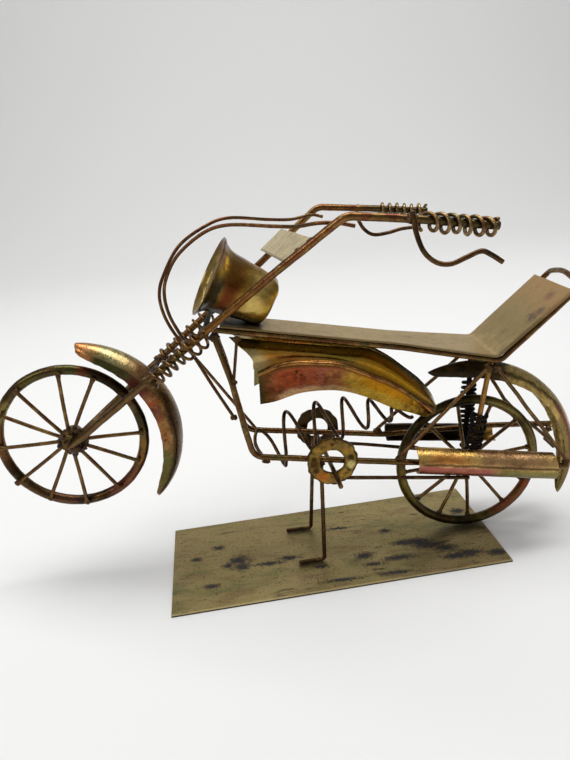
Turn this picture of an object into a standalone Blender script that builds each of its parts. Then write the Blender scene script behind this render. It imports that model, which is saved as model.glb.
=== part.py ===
"""Desk sculpture of a long-fork motorcycle, brazed from brass wire and sheet on a flat base plate.

Frame: metres, +Z up, +X towards the rear wheel, +Y away from the side that shows first.
The bike's own middle plane is Y = 0 and the origin lies on the plate's underside.
Every place below is written in millimetres and turned into metres by at().
"""
import math

import bpy
import bmesh
from mathutils import Matrix, Vector

MM = 0.001
GAP = 0.3               # clearance between brazed neighbours

# base plate
PLATE_LENGTH = 177.0
PLATE_WIDTH = 77.0
PLATE_THICK = 1.0
PLATE_CENTRE_Y = -5.0
PLATE_YAW = 3.9         # degrees: the bike stands slightly askew on its plate

# wire stock, by diameter
FORK_WIRE = 3.6
FRAME_WIRE = 3.2
RAIL_WIRE = 2.8
STRUT_WIRE = 2.0
CABLE_WIRE = 1.7
COIL_WIRE = 1.4
ENGINE_WIRE = 1.8

# sheet stock
SHEET = 0.7

# wheels
WHEEL_RADIUS = 39.6
RIM_WIRE = 5.2
SPOKE_WIRE = 2.0
HUB_RADIUS = 4.5
HUB_HALF = 7.2
AXLE_RADIUS = 1.5
FRONT_AXLE_HALF = 7.7
REAR_AXLE_HALF = 14.0
FRONT_HUB = (-130.3, 0.0, 81.1)
REAR_HUB = (79.0, 0.0, PLATE_THICK + GAP + WHEEL_RADIUS)
# hand-set spokes: directions in degrees, how far out they reach, and their plane's distance
# from the middle plane (the front ones lie on the rim's face, the rear ones end inside the rim)
FRONT_SPOKES = (0, 31, 61, 88.5, 126, 151, 180.5, 213.5, 242, 272.5, 303.5, 334)
FRONT_SPOKE_REACH = 37.3
FRONT_SPOKE_OUT = RIM_WIRE / 2 + SPOKE_WIRE / 2 + GAP
REAR_SPOKES = (7, 38, 67, 98, 131, 158, 185, 217, 244, 272, 307, 335)
REAR_SPOKE_REACH = 33.8
REAR_SPOKE_OUT = -1.5

# half spacings, measured from the middle plane
RAIL_HALF = 17.4
SEAT_FRONT_HALF = 12.5
SEAT_REAR_HALF = 20.5
BACKREST_HALF = 21.5
RING_HALF = 20.9
COVER_HALF = 20.8

NEAR = -1
FAR = 1
SIDES = (("near", NEAR), ("far", FAR))


def at(x, y, z):
    """A point given in millimetres, in metres."""
    return Vector((x, y, z)) * MM


def clear_scene():
    for obj in list(bpy.data.objects):
        bpy.data.objects.remove(obj, do_unlink=True)


def new_collection(name):
    group = bpy.data.collections.new(name)
    bpy.context.scene.collection.children.link(group)
    return group


def brass(name, colour, roughness):
    """A brass finish: base colour, roughness, fully metallic."""
    material = bpy.data.materials.new(name)
    material.use_nodes = True
    shader = material.node_tree.nodes["Principled BSDF"]
    shader.inputs["Base Color"].default_value = (*colour, 1.0)
    shader.inputs["Roughness"].default_value = roughness
    shader.inputs["Metallic"].default_value = 1.0
    return material


def place(obj, group, material):
    """Put an object in its collection with its own copy of a finish."""
    for old in list(obj.users_collection):
        old.objects.unlink(obj)
    group.objects.link(obj)
    own = material.copy()
    own.name = obj.name + "_finish"
    obj.data.materials.clear()
    obj.data.materials.append(own)
    return obj


# ---------------------------------------------------------------- wires

def rounded(points, radius, steps=4):
    """Replace each inner corner of a polyline with a short arc of the given radius."""
    points = [Vector(p) for p in points]
    result = [points[0]]
    for before, corner, after in zip(points, points[1:], points[2:]):
        arm_in = (before - corner).normalized()
        arm_out = (after - corner).normalized()
        half = arm_in.angle(arm_out) / 2
        reach = min(radius / math.tan(half), (before - corner).length * 0.45, (after - corner).length * 0.45)
        start = corner + arm_in * reach
        end = corner + arm_out * reach
        for step in range(steps + 1):
            t = step / steps
            result.append(start * (1 - t) ** 2 + corner * 2 * t * (1 - t) + end * t ** 2)
    result.append(points[-1])
    return result


def smooth(points, per_span=3):
    """A Catmull-Rom curve through the points."""
    points = [Vector(p) for p in points]
    padded = [points[0] * 2 - points[1], *points, points[-1] * 2 - points[-2]]
    result = []
    for a, b, c, d in zip(padded, padded[1:], padded[2:], padded[3:]):
        for step in range(per_span):
            t = step / per_span
            result.append(0.5 * (2 * b + (c - a) * t + (2 * a - 5 * b + 4 * c - d) * t ** 2
                                 + (3 * b - a - 3 * c + d) * t ** 3))
    result.append(points[-1])
    return result


def helix(start, end, radius, turns, per_turn=8):
    """Points of a coil around the straight line from start to end."""
    start, end = Vector(start), Vector(end)
    along = (end - start).normalized()
    side = along.cross(Vector((0, 1, 0))).normalized()
    other = along.cross(side)
    count = int(turns * per_turn)
    result = []
    for step in range(count + 1):
        angle = 2 * math.pi * step / per_turn
        centre = start.lerp(end, step / count)
        result.append(centre + (side * math.cos(angle) + other * math.sin(angle)) * radius)
    return result


def on_side(points, side):
    """Points written as (x, distance from the middle plane, z), moved to one side."""
    return [Vector((x, y * side, z)) for x, y, z in points]


def wire(name, points, diameter, group, material, resolution=2):
    """A bent wire: a poly curve with a round section and closed ends; its origin is its first point."""
    curve = bpy.data.curves.new(name, "CURVE")
    curve.dimensions = "3D"
    curve.bevel_depth = diameter / 2 * MM
    curve.bevel_resolution = resolution
    curve.use_fill_caps = True
    spline = curve.splines.new("POLY")
    spline.points.add(len(points) - 1)
    origin = Vector(points[0])
    for slot, point in zip(spline.points, points):
        slot.co = (*((Vector(point) - origin) * MM), 1.0)
    spline.use_smooth = True
    obj = bpy.data.objects.new(name, curve)
    obj.location = origin * MM
    return place(obj, group, material)


# ---------------------------------------------------------------- sheets and turned pieces

def sheet(name, rows, thickness, group, material):
    """A sheet through rows of points, thickened evenly on both faces."""
    mesh = bpy.data.meshes.new(name)
    shape = bmesh.new()
    grid = [[shape.verts.new(Vector(p) * MM) for p in row] for row in rows]
    for row, following in zip(grid, grid[1:]):
        for a, b, c, d in zip(row, row[1:], following[1:], following):
            shape.faces.new((a, b, c, d))
    bmesh.ops.recalc_face_normals(shape, faces=shape.faces)
    shape.to_mesh(mesh)
    shape.free()
    obj = bpy.data.objects.new(name, mesh)
    solid = obj.modifiers.new("thickness", "SOLIDIFY")
    solid.thickness = thickness * MM
    solid.offset = 0.0
    solid.use_even_offset = True
    mesh.shade_smooth()
    return place(obj, group, material)


def turned(name, profile, steps, group, material):
    """A turned piece: a profile of (radius, height) spun round its own Z axis."""
    mesh = bpy.data.meshes.new(name)
    points = [at(radius, 0, height) for radius, height in profile]
    edges = [(i, i + 1) for i in range(len(points) - 1)]
    if profile[0][0] > 0:
        edges.append((len(points) - 1, 0))
    mesh.from_pydata(points, edges, [])
    obj = bpy.data.objects.new(name, mesh)
    spin = obj.modifiers.new("spin", "SCREW")
    spin.steps = steps
    spin.render_steps = steps
    spin.use_merge_vertices = True
    spin.merge_threshold = 0.00002
    spin.use_normal_calculate = False
    return place(obj, group, material)


def aim(obj, direction, location):
    """Turn an object's Z axis along a direction and put its origin at a place in millimetres."""
    obj.rotation_euler = Vector(direction).to_track_quat("Z", "Y").to_euler()
    obj.location = Vector(location) * MM
    return obj


def rod(name, start, end, radius, group, material, sides=16):
    """A straight round rod between two places in millimetres."""
    start, end = Vector(start), Vector(end)
    mesh = bpy.data.meshes.new(name)
    shape = bmesh.new()
    bmesh.ops.create_cone(shape, cap_ends=True, segments=sides, radius1=radius * MM, radius2=radius * MM,
                          depth=(end - start).length * MM)
    shape.to_mesh(mesh)
    shape.free()
    mesh.shade_smooth()
    mesh.set_sharp_from_angle(angle=math.radians(40))
    obj = bpy.data.objects.new(name, mesh)
    aim(obj, end - start, (start + end) / 2)
    return place(obj, group, material)


# ---------------------------------------------------------------- base, frame, seat

def base_plate(group, material):
    bpy.ops.mesh.primitive_cube_add(size=1.0)
    plate = bpy.context.object
    plate.name = "base_plate"
    plate.scale = (PLATE_LENGTH * MM, PLATE_WIDTH * MM, PLATE_THICK * MM)
    bpy.ops.object.transform_apply(location=False, rotation=False, scale=True)
    plate.location = at(0, PLATE_CENTRE_Y, PLATE_THICK / 2)
    plate.rotation_euler = (0, 0, math.radians(PLATE_YAW))
    edge = plate.modifiers.new("edge", "BEVEL")
    edge.width = 0.15 * MM
    edge.segments = 1
    place(plate, group, material)


def strip_height(x):
    """Height of the seat strip's middle surface: it falls evenly towards its bend."""
    return 125.15 - 0.206 * x


STRIP_FRONT_X = -46.5
STRIP_KINK_X = 42.0
STRIP_BEND_X = 87.5
BACKREST_TOP = (122.8, 136.8)


def frame_wires(group, material):
    """Down tube, bend and lower rail: one wire a side. The far rail's tail is bent up a little."""
    paths = {"near": [(-49.6, 11.2, 130.2), (-43.4, 14.8, 105.5), (-39.9, RAIL_HALF, 83.0),
                      (-37.2, RAIL_HALF, 66.9), (36.0, RAIL_HALF, 54.9), (127.0, RAIL_HALF, 41.2)],
             "far": [(-51.4, 10.8, 130.2), (-47.4, 12.2, 110.7), (-44.3, 16.4, 89.5),
                     (-41.0, RAIL_HALF, 67.0), (36.0, RAIL_HALF, 54.9), (96.0, RAIL_HALF, 53.4),
                     (133.5, RAIL_HALF, 50.0)]}
    for name, side in SIDES:
        path = rounded(on_side(paths[name], side), 8.0)
        wire("frame_wire_" + name, path, FRAME_WIRE, group, material)


def seat_rail(group, material):
    """One wire under both edges of the strip, up behind the backrest and over in a low arch."""
    drop = SHEET / 2 + RAIL_WIRE / 2 + GAP
    front = (STRIP_FRONT_X - 1.5, SEAT_FRONT_HALF - 1.3, strip_height(STRIP_FRONT_X - 1.5) - drop)
    kink = (STRIP_KINK_X, SEAT_FRONT_HALF - 1.0, strip_height(STRIP_KINK_X) - drop)
    bend = (STRIP_BEND_X + 1.2, SEAT_REAR_HALF - 1.6, strip_height(STRIP_BEND_X) - drop - 0.3)
    shoulder = (123.6, BACKREST_HALF - 4.0, 134.2)
    half = [front, kink, bend, shoulder]
    lower = rounded(on_side(half, NEAR), 6.0, steps=3)
    rise = [shoulder, (126.4, 15.2, 138.2), (127.0, 11.0, 140.6)]
    arch = smooth(on_side(rise, NEAR) + [Vector((127.2, 0.0, 142.2))] + on_side(rise[::-1], FAR), 2)
    upper = rounded(on_side(half, FAR), 6.0, steps=3)
    wire("seat_rail", lower[:-1] + arch + upper[-2::-1], RAIL_WIRE, group, material)


def seat_strip(group, material):
    """Long strip that widens at its rear and bends up into the backrest."""
    bend_z = strip_height(STRIP_BEND_X)
    top_x, top_z = BACKREST_TOP
    stations = [(STRIP_FRONT_X, strip_height(STRIP_FRONT_X), SEAT_FRONT_HALF),
                (0.0, strip_height(0.0), SEAT_FRONT_HALF),
                (STRIP_KINK_X, strip_height(STRIP_KINK_X), SEAT_FRONT_HALF + 0.3),
                (STRIP_BEND_X - 2.0, bend_z + 0.41, SEAT_REAR_HALF - 0.3),
                (STRIP_BEND_X - 0.4, bend_z + 0.45, SEAT_REAR_HALF),
                (STRIP_BEND_X + 0.9, bend_z + 1.15, SEAT_REAR_HALF),
                (top_x, top_z, BACKREST_HALF)]
    rows = [[(x, width * across, z) for across in (-1.0, 0.0, 1.0)] for x, z, width in stations]
    sheet("seat_strip", rows, SHEET + 0.1, group, material)


# ---------------------------------------------------------------- fork, handlebars, controls

# foot, knee and head of each leg, then the middle and the end of its handlebar
FORK_PATHS = {NEAR: [(-129.6, 9.8, 79.4), (-21.0, 38.6, 161.1), (12.0, 47.0, 184.3),
                     (42.0, 49.0, 180.2), (73.5, 51.0, 174.8)],
              FAR: [(-132.5, 9.8, 75.2), (-22.0, 35.6, 156.4), (10.4, 43.5, 181.2),
                    (43.4, 45.0, 177.0), (71.0, 46.6, 173.3)]}


def leg_point(x, side):
    """The place on a fork leg's axis at a given x."""
    path = [Vector(p) for p in FORK_PATHS[side][:3]]
    low, high = path[:2] if x < path[1].x else path[1:]
    point = low.lerp(high, (x - low.x) / (high.x - low.x))
    return Vector((point.x, point.y * side, point.z))


def fork_and_bars(group, material):
    """Each side's fork leg, riser and handlebar are one wire."""
    for name, side in SIDES:
        path = rounded(on_side(FORK_PATHS[side], side), 9.0)
        wire("fork_wire_" + name, path, FORK_WIRE, group, material, resolution=3)


def fork_bars(group, material):
    """Two short cross bars brazed between the legs."""
    for name, x in (("fork_crossbar_upper", -52.8), ("fork_crossbar_lower", -82.6)):
        near, far = leg_point(x, NEAR), leg_point(x, FAR)
        inset = (far - near).normalized() * (FORK_WIRE / 2 + GAP + 0.6)
        rod(name, near + inset, far - inset, 1.3, group, material, sides=12)


def fork_springs(group, material):
    """A loose coil around each leg between the fender and the headlight."""
    for name, side in SIDES:
        path = helix(leg_point(-80.3, side), leg_point(-55.1, side), 3.3, 7)
        wire("fork_spring_" + name, path, COIL_WIRE, group, material, resolution=1)


def grip_coils(group, material):
    for name, side in SIDES:
        middle, end = on_side(FORK_PATHS[side][3:], side)
        drop = Vector((0, 0, -0.6))
        path = helix(middle.lerp(end, 0.1) + drop, middle.lerp(end, 0.97) + drop, 3.5, 6)
        wire("grip_coil_" + name, path, COIL_WIRE, group, material, resolution=1)


def levers(group, material):
    """S-shaped brake levers hung on the outer side of the bars."""
    near = [(37.8, 52.6, 184.0), (38.8, 53.3, 176.0), (41.2, 55.8, 168.2), (45.6, 58.0, 163.8),
            (51.0, 59.8, 162.9), (57.0, 61.0, 165.2), (62.5, 62.0, 167.2), (66.5, 62.4, 165.3),
            (70.8, 62.8, 162.2)]
    far = [(32.8, 48.6, 178.2), (33.2, 49.4, 173.0), (36.9, 52.2, 166.2), (42.6, 54.6, 162.1),
           (50.8, 56.0, 162.0), (59.5, 57.0, 163.4), (67.3, 57.4, 163.6)]
    wire("brake_lever_near", smooth(on_side(near, NEAR), 2), 2.1, group, material)
    wire("brake_lever_far", smooth(on_side(far, FAR), 2), 2.1, group, material)


def cables(group, material):
    """Two stiff wires bent like control cables: from the bar bends, round the headlight, to the frame."""
    near = [(16.0, -43.2, 179.4), (9.0, -42.4, 181.2), (1.0, -39.6, 181.6), (-7.5, -33.0, 180.4),
            (-17.0, -25.0, 180.6), (-36.5, -11.0, 181.6), (-48.5, -6.5, 178.8), (-61.5, -4.4, 170.0),
            (-68.7, -3.6, 160.0), (-71.3, -3.4, 151.5), (-70.5, -3.6, 141.5), (-66.4, -4.8, 131.0),
            (-60.0, -7.2, 117.6), (-53.0, -10.6, 103.6), (-44.4, -14.6, 87.5)]
    far = [(12.6, 39.4, 176.2), (6.4, 38.6, 177.8), (-4.5, 34.4, 176.9), (-17.0, 27.6, 178.6),
           (-36.5, 13.0, 182.6), (-48.5, 8.0, 180.2), (-62.0, 4.6, 172.4), (-71.3, 3.2, 159.2),
           (-74.6, 2.8, 150.1), (-74.0, 3.0, 140.4), (-70.5, 3.8, 130.2), (-64.4, 5.4, 119.4),
           (-55.6, 8.6, 104.0), (-34.0, 14.4, 66.4)]
    wire("cable_wire_near", smooth(near, 2), CABLE_WIRE, group, material)
    wire("cable_wire_far", smooth(far, 2), CABLE_WIRE, group, material)


def bridge_plate(group, material):
    """Small flat plate from the near riser, level with it, to just above the far riser."""
    inset = Vector((0, FORK_WIRE / 2 + GAP + 0.9, 0))
    rows = [[leg_point(-13.8, NEAR) + inset, (-22.3, 36.0, 162.3)],
            [leg_point(-0.8, NEAR) + inset, (-10.0, 36.0, 172.2)]]
    sheet("bridge_plate", rows, SHEET, group, material)


LAMP_MOUTH = (-49.0, 0.0, 157.2)
LAMP_FRONT = (-0.857, -0.09, 0.507)
LAMP_DEPTH = 33.0
LAMP_OUTER = [(20.2, 0.0), (17.6, 2.2), (16.2, 4.6), (15.4, 8.0), (14.6, 14.0), (13.8, 20.0),
              (12.7, 26.0), (10.8, 30.0), (7.5, 32.3)]


def headlight(group, material, lens_material):
    """Bell-shaped cup with a flared lip, and a shallow disc set in its mouth."""
    outer = [(radius, -depth) for radius, depth in LAMP_OUTER]
    inner = [(radius - SHEET, -depth + (SHEET if depth > 28 else 0.0)) for radius, depth in LAMP_OUTER[1:]]
    profile = [(0.0, -LAMP_DEPTH + SHEET)] + inner[::-1] + [(20.2 - 0.5, 0.25)] + outer + [(0.0, -LAMP_DEPTH)]
    cup = turned("headlight_cup", profile, 24, group, material)
    aim(cup, LAMP_FRONT, LAMP_MOUTH)
    disc = [(0.0, -1.4), (6.0, -1.5), (11.0, -1.9), (15.4, -2.6), (15.4, -3.2), (11.0, -2.6),
            (6.0, -2.2), (0.0, -2.1)]
    lens = turned("headlight_disc", disc, 24, group, lens_material)
    aim(lens, LAMP_FRONT, LAMP_MOUTH)


# ---------------------------------------------------------------- wheels

def spoke_rods(name, directions, reach, out):
    """All of a wheel's spokes in one mesh, lying in the local XY plane at height out."""
    mesh = bpy.data.meshes.new(name)
    rods = bmesh.new()
    start = HUB_RADIUS - 1.0
    for direction in directions:
        made = bmesh.ops.create_cone(rods, cap_ends=True, segments=8, radius1=SPOKE_WIRE / 2 * MM,
                                     radius2=SPOKE_WIRE / 2 * MM, depth=(reach - start) * MM)
        bmesh.ops.rotate(rods, verts=made["verts"], matrix=Matrix.Rotation(math.pi / 2, 3, "Y"))
        bmesh.ops.translate(rods, verts=made["verts"], vec=at((start + reach) / 2, 0, out))
        bmesh.ops.rotate(rods, verts=made["verts"],
                         matrix=Matrix.Rotation(math.radians(direction), 3, "Z"))
    rods.to_mesh(mesh)
    rods.free()
    return mesh


def wheel(name, hub, spokes, group, material):
    """Rim of thick round wire and a hub with its spokes, both turning on an empty at the axle."""
    empty = bpy.data.objects.new(name + "_axis", None)
    empty.location = Vector(hub) * MM
    group.objects.link(empty)

    centre_radius = WHEEL_RADIUS - RIM_WIRE / 2
    bpy.ops.mesh.primitive_torus_add(major_radius=centre_radius * MM, minor_radius=RIM_WIRE / 2 * MM,
                                     major_segments=36, minor_segments=8)
    rim = bpy.context.object
    rim.name = name + "_rim"
    rim.rotation_euler = (math.pi / 2, 0, 0)
    rim.data.shade_smooth()
    place(rim, group, material)
    rim.parent = empty

    hub_profile = [(AXLE_RADIUS + GAP, HUB_HALF), (HUB_RADIUS, HUB_HALF), (HUB_RADIUS, -HUB_HALF),
                   (AXLE_RADIUS + GAP, -HUB_HALF)]
    spider = turned(name + "_spokes", hub_profile, 20, group, material)
    spider.rotation_euler = (math.pi / 2, 0, 0)
    spider.parent = empty

    rods = bpy.data.objects.new(name + "_rods", spoke_rods(name + "_rods", *spokes))
    bpy.data.collections["joining_shapes"].objects.link(rods)
    rods.hide_render = True
    rods.display_type = "WIRE"
    rods.rotation_euler = (math.pi / 2, 0, 0)
    rods.parent = empty
    union = spider.modifiers.new("spokes", "BOOLEAN")
    union.operation = "UNION"
    union.solver = "EXACT"
    union.use_self = True
    union.object = rods


def wheels(group, material, axle_material):
    wheel("front_wheel", FRONT_HUB, (FRONT_SPOKES, FRONT_SPOKE_REACH, FRONT_SPOKE_OUT), group, material)
    wheel("rear_wheel", REAR_HUB, (REAR_SPOKES, REAR_SPOKE_REACH, REAR_SPOKE_OUT), group, material)
    for name, (x, y, z), half in (("front_axle", FRONT_HUB, FRONT_AXLE_HALF),
                                  ("rear_axle", REAR_HUB, REAR_AXLE_HALF)):
        rod(name, (x, -half, z), (x, half, z), AXLE_RADIUS, group, axle_material)


# ---------------------------------------------------------------- fenders and exhausts

def fender(name, hub, first, last, crown, drop, half_width, group, material):
    """Half-round channel round a hub, tapering to a point at both ends.

    first and last are the end angles in degrees; crown(share) and drop(share) give the crown's radius
    and the channel's depth at a share of the way along; half_width is the half width at the widest.
    """
    rows = []
    count = 15
    for index in range(count + 1):
        share = index / count
        angle = math.radians(first + (last - first) * share)
        fullness = max(0.02, math.sin(math.pi * share)) ** 0.35
        row = []
        for across in range(7):
            turn = math.radians(-84 + 28 * across)
            radius = crown(share) - drop(share) * fullness * (1 - math.cos(turn))
            row.append((hub[0] + radius * math.cos(angle), half_width * fullness * math.sin(turn),
                        hub[2] + radius * math.sin(angle)))
        rows.append(row)
    sheet(name, rows, SHEET, group, material)


def fenders(group, material):
    fender("front_fender", FRONT_HUB, 77, -45,
           lambda s: 51.0 + 5.9 * math.sin(math.pi / 2 * min(1.0, s * 1.6)) - 1.4 * max(0.0, s - 0.6),
           lambda s: 11.4, 9.4, group, material)
    fender("rear_fender", REAR_HUB, 111, -26, lambda s: 58.6,
           lambda s: 11.6 - 3.6 * min(1.0, max(0.0, s - 0.14) * 3.2), 7.6, group, material)


def exhaust_covers(group, material):
    """Half-round rolled covers brazed to the outer sides of the two lower rails."""
    shapes = {"near": ((45.2, 56.6), (117.4, 44.5), 6.8), "far": ((39.0, 54.2), (103.0, 46.6), 4.9)}
    for name, side in SIDES:
        start, end, radius = shapes[name]
        rows = []
        for share in (0.0, 0.5, 1.0):
            x = start[0] + (end[0] - start[0]) * share
            z = start[1] + (end[1] - start[1]) * share
            row = []
            for step in range(11):
                turn = math.radians(-98 + 19.6 * step)
                row.append((x, side * (COVER_HALF + radius * math.cos(turn)), z + radius * math.sin(turn)))
            rows.append(row)
        sheet("exhaust_cover_" + name, rows, SHEET, group, material)


# ---------------------------------------------------------------- side panels

def through(points, share):
    """The place at a share of a smooth line's length."""
    fine = smooth(points, 6)
    lengths = [0.0]
    for a, b in zip(fine, fine[1:]):
        lengths.append(lengths[-1] + (b - a).length)
    goal = share * lengths[-1]
    for a, b, low, high in zip(fine, fine[1:], lengths, lengths[1:]):
        if goal <= high:
            return a.lerp(b, (goal - low) / (high - low))
    return fine[-1]


def panel(name, top, bottom, front, depth, side, group, material):
    """A sheet between a top and a bottom line, with a shaped front edge; depth(v) is its distance out."""
    rows = []
    columns, levels = 12, 3
    for column in range(columns + 1):
        u = column / columns
        upper, lower = through(top, u), through(bottom, u)
        row = []
        for level in range(levels + 1):
            v = level / levels
            edge = through(front, v)
            straight = front_point(top, bottom, v)
            point = upper.lerp(lower, v) + (edge - straight) * (1 - u) ** 3
            row.append((point.x, side * depth(v), point.z))
        rows.append(row)
    sheet(name, rows, SHEET, group, material)


def front_point(top, bottom, v):
    return Vector(top[0]).lerp(Vector(bottom[0]), v)


def flat(pairs):
    return [Vector((x, 0, z)) for x, z in pairs]


UPPER_TOP = flat([(-42.9, 127.1), (-30.0, 124.1), (-17.5, 121.5), (11.8, 115.9), (25.5, 113.4),
                  (36.5, 106.9), (45.5, 99.1), (53.2, 91.9), (57.6, 86.1), (60.0, 79.8)])
UPPER_FRONT = flat([(-42.9, 127.1), (-39.7, 124.0), (-34.8, 119.6), (-32.2, 114.2), (-33.1, 103.3)])
UPPER_BOTTOM = flat([(-33.1, 103.8), (-20.0, 108.6), (-3.0, 109.6), (15.0, 105.4), (36.0, 94.0),
                     (48.0, 85.0), (57.8, 79.4)])
LOWER_TOP = flat([(-30.4, 111.2), (-21.3, 114.4), (-12.0, 115.2), (-2.0, 114.0), (9.8, 111.6),
                  (26.2, 103.6), (37.0, 97.6), (47.9, 88.8), (55.8, 81.2)])
LOWER_FRONT = flat([(-30.4, 111.2), (-30.6, 103.0), (-31.0, 94.4)])
LOWER_BOTTOM = flat([(-31.0, 94.4), (-23.1, 95.1), (-12.3, 97.8), (-2.3, 98.3), (9.2, 97.0),
                     (20.6, 92.8), (35.0, 84.8), (44.7, 80.8), (51.8, 77.9), (54.8, 79.0)])


def side_panels(group, material, bead_material):
    """Upper sheet, lower sheet lapped over it, and a bead wire along the lap, on both sides."""
    for name, side in SIDES:
        panel("side_panel_upper_" + name, UPPER_TOP, UPPER_BOTTOM, UPPER_FRONT,
              lambda v: 4.2 + 9.0 * math.sin(math.pi / 2 * v), side, group, material)
        panel("side_panel_lower_" + name, LOWER_TOP, LOWER_BOTTOM, LOWER_FRONT,
              lambda v: 14.6 + 0.5 * math.sin(math.pi * v), side, group, material)
        bead = [(p.x, side * 16.6, p.z - 1.2) for p in smooth(LOWER_TOP, 2)]
        wire("side_panel_bead_" + name, bead, 2.2, group, bead_material)
    wire("panel_strut_near", [(-38.8, -12.6, 128.4), (-42.6, -17.8, 108.4)], 1.6, group, bead_material)


# ---------------------------------------------------------------- engine, rings, stand

# the engine coil from end to end: it starts low beside the near rail, hooks over, and runs back along
# the frame, each turn rising on the near side and falling on the far side
COIL_LEAD = [(-31, -13, 61), (-36, -1, 66), (-34, 8, 70), (-28, 6, 65)]
COIL_FRONT, COIL_PITCH, COIL_CLOSING = -22.0, 16.5, 0.55
COIL_MIDDLE, COIL_RISE = 68.0, 11.0
COIL_HALF, COIL_DEPTH, COIL_SIDE = 13.4, 0.56, -5.0
COIL_TURNS, COIL_STEPS = 5.2, 10
COIL_ARCH, COIL_FADE = 6.5, 11   # turns over which the middle line arches and the height fades out


def coil_path():
    """Flat oval turns that shrink towards the rear, after a lead bent round from the near side."""
    path = list(COIL_LEAD)
    for index in range(int(COIL_TURNS * COIL_STEPS) + 1):
        turn = index / COIL_STEPS
        phase = 2 * math.pi * turn
        along = turn + (math.cos(phase) - 1) / (2 * math.pi)
        middle = COIL_MIDDLE + COIL_RISE * math.sin(math.pi * turn / COIL_ARCH)
        half = COIL_HALF * math.cos(math.pi * turn / COIL_FADE)
        path.append((COIL_FRONT + COIL_PITCH * along - COIL_CLOSING * along ** 2,
                     COIL_SIDE - COIL_DEPTH * half * math.sin(phase),
                     middle - half * math.cos(phase)))
    return path


def engine_coil(group, material):
    """One loose hand-bent coil between the rails."""
    wire("engine_coil", smooth(coil_path(), 2), ENGINE_WIRE, group, material, resolution=1)


def crank_rings(group, material):
    """Flat washers on the outer sides of the rails."""
    sizes = {"near": (2.2, 61.4, 13.0, 6.3), "far": (-0.6, 61.6, 12.0, 6.0)}
    for name, side in SIDES:
        x, z, outer, hole = sizes[name]
        curve = bpy.data.curves.new("crank_ring_" + name, "CURVE")
        curve.dimensions = "2D"
        curve.fill_mode = "BOTH"
        curve.extrude = 0.7 * MM
        for radius in (outer, hole):
            spline = curve.splines.new("POLY")
            spline.points.add(27)
            for index, point in enumerate(spline.points):
                angle = 2 * math.pi * index / 28
                point.co = (radius * math.cos(angle) * MM, radius * math.sin(angle) * MM, 0, 1)
            spline.use_cyclic_u = True
        ring = bpy.data.objects.new("crank_ring_" + name, curve)
        ring.rotation_euler = (math.pi / 2, 0, 0)
        ring.location = at(x, side * (RING_HALF + 0.2), z)
        place(ring, group, material)


def footpeg_bar(group, material):
    path = [(4.0, -36.0, 54.6), (2.4, -22.6, 56.7), (-1.2, 22.0, 57.3), (-2.0, 28.0, 57.6)]
    wire("footpeg_bar", rounded(path, 4.0, 2), 2.4, group, material)


def lower_pipes(group, material):
    """Thin wires from under the rings to the exhaust covers."""
    ends = {"near": [(0.0, 17.8, 50.4), (40.0, 17.8, 45.4), (74.0, 17.8, 41.2)],
            "far": [(0.0, 17.8, 52.6), (20.0, 17.8, 50.6), (58.0, 17.8, 42.6)]}
    for name, side in SIDES:
        wire("lower_pipe_" + name, on_side(ends[name], side), STRUT_WIRE, group, material)


def rear_struts(group, material):
    """Thin wires from the seat bend down to the lower rails."""
    paths = {"strut_front_near": [(83.5, -18.0, 101.8), (38.0, -17.6, 57.9)],
             "strut_front_far": [(86.5, 18.0, 101.4), (33.0, 17.6, 58.6)],
             "strut_rear_near": [(87.0, -18.0, 101.4), (126.6, -17.6, 45.0)],
             "strut_rear_far": [(91.6, 15.0, 95.4), (98.6, 15.0, 81.0), (104.9, 14.6, 69.9),
                                (112.6, 14.2, 60.6), (131.3, 13.0, 42.6), (134.8, 12.6, 38.8)]}
    for name, path in paths.items():
        wire(name, path, STRUT_WIRE, group, material)


def shocks(group, material, coil_material):
    """A rod a side from the seat to the rear axle, with a coil round its lower part."""
    rods = {"near": ((87.0, 11.4, 103.6), (76.6, 11.2, 44.6), 0.5),
            "far": ((85.0, 11.4, 103.8), (81.6, 11.2, 44.2), 0.32)}
    for name, side in SIDES:
        top, bottom, start = rods[name]
        top, bottom = on_side([top, bottom], side)
        rod("shock_rod_" + name, top, bottom, 1.4, group, material, sides=10)
        path = helix(top.lerp(bottom, start), top.lerp(bottom, 0.94), 3.1, 6)
        wire("shock_coil_" + name, path, COIL_WIRE, group, coil_material, resolution=1)


def stand(group, material):
    """Two legs from the rails to the plate, each with its foot turned forward."""
    floor = PLATE_THICK + GAP + 1.1
    legs = {"near": [(-3.2, 17.2, 58.5), (-5.5, 19.2, floor), (-19.2, 20.2, floor)],
            "far": [(-3.7, 17.2, 58.4), (-9.6, 12.2, floor), (-23.8, 12.0, floor)]}
    for name, side in SIDES:
        wire("stand_leg_" + name, rounded(on_side(legs[name], side), 2.0), 2.2, group, material)


def fender_stay(group, material):
    """Thin wire across the rear fender's hollow."""
    rod("rear_fender_stay", (125.0, -5.4, 47.0), (125.0, 5.4, 47.0), 0.8, group, material, sides=10)


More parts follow.
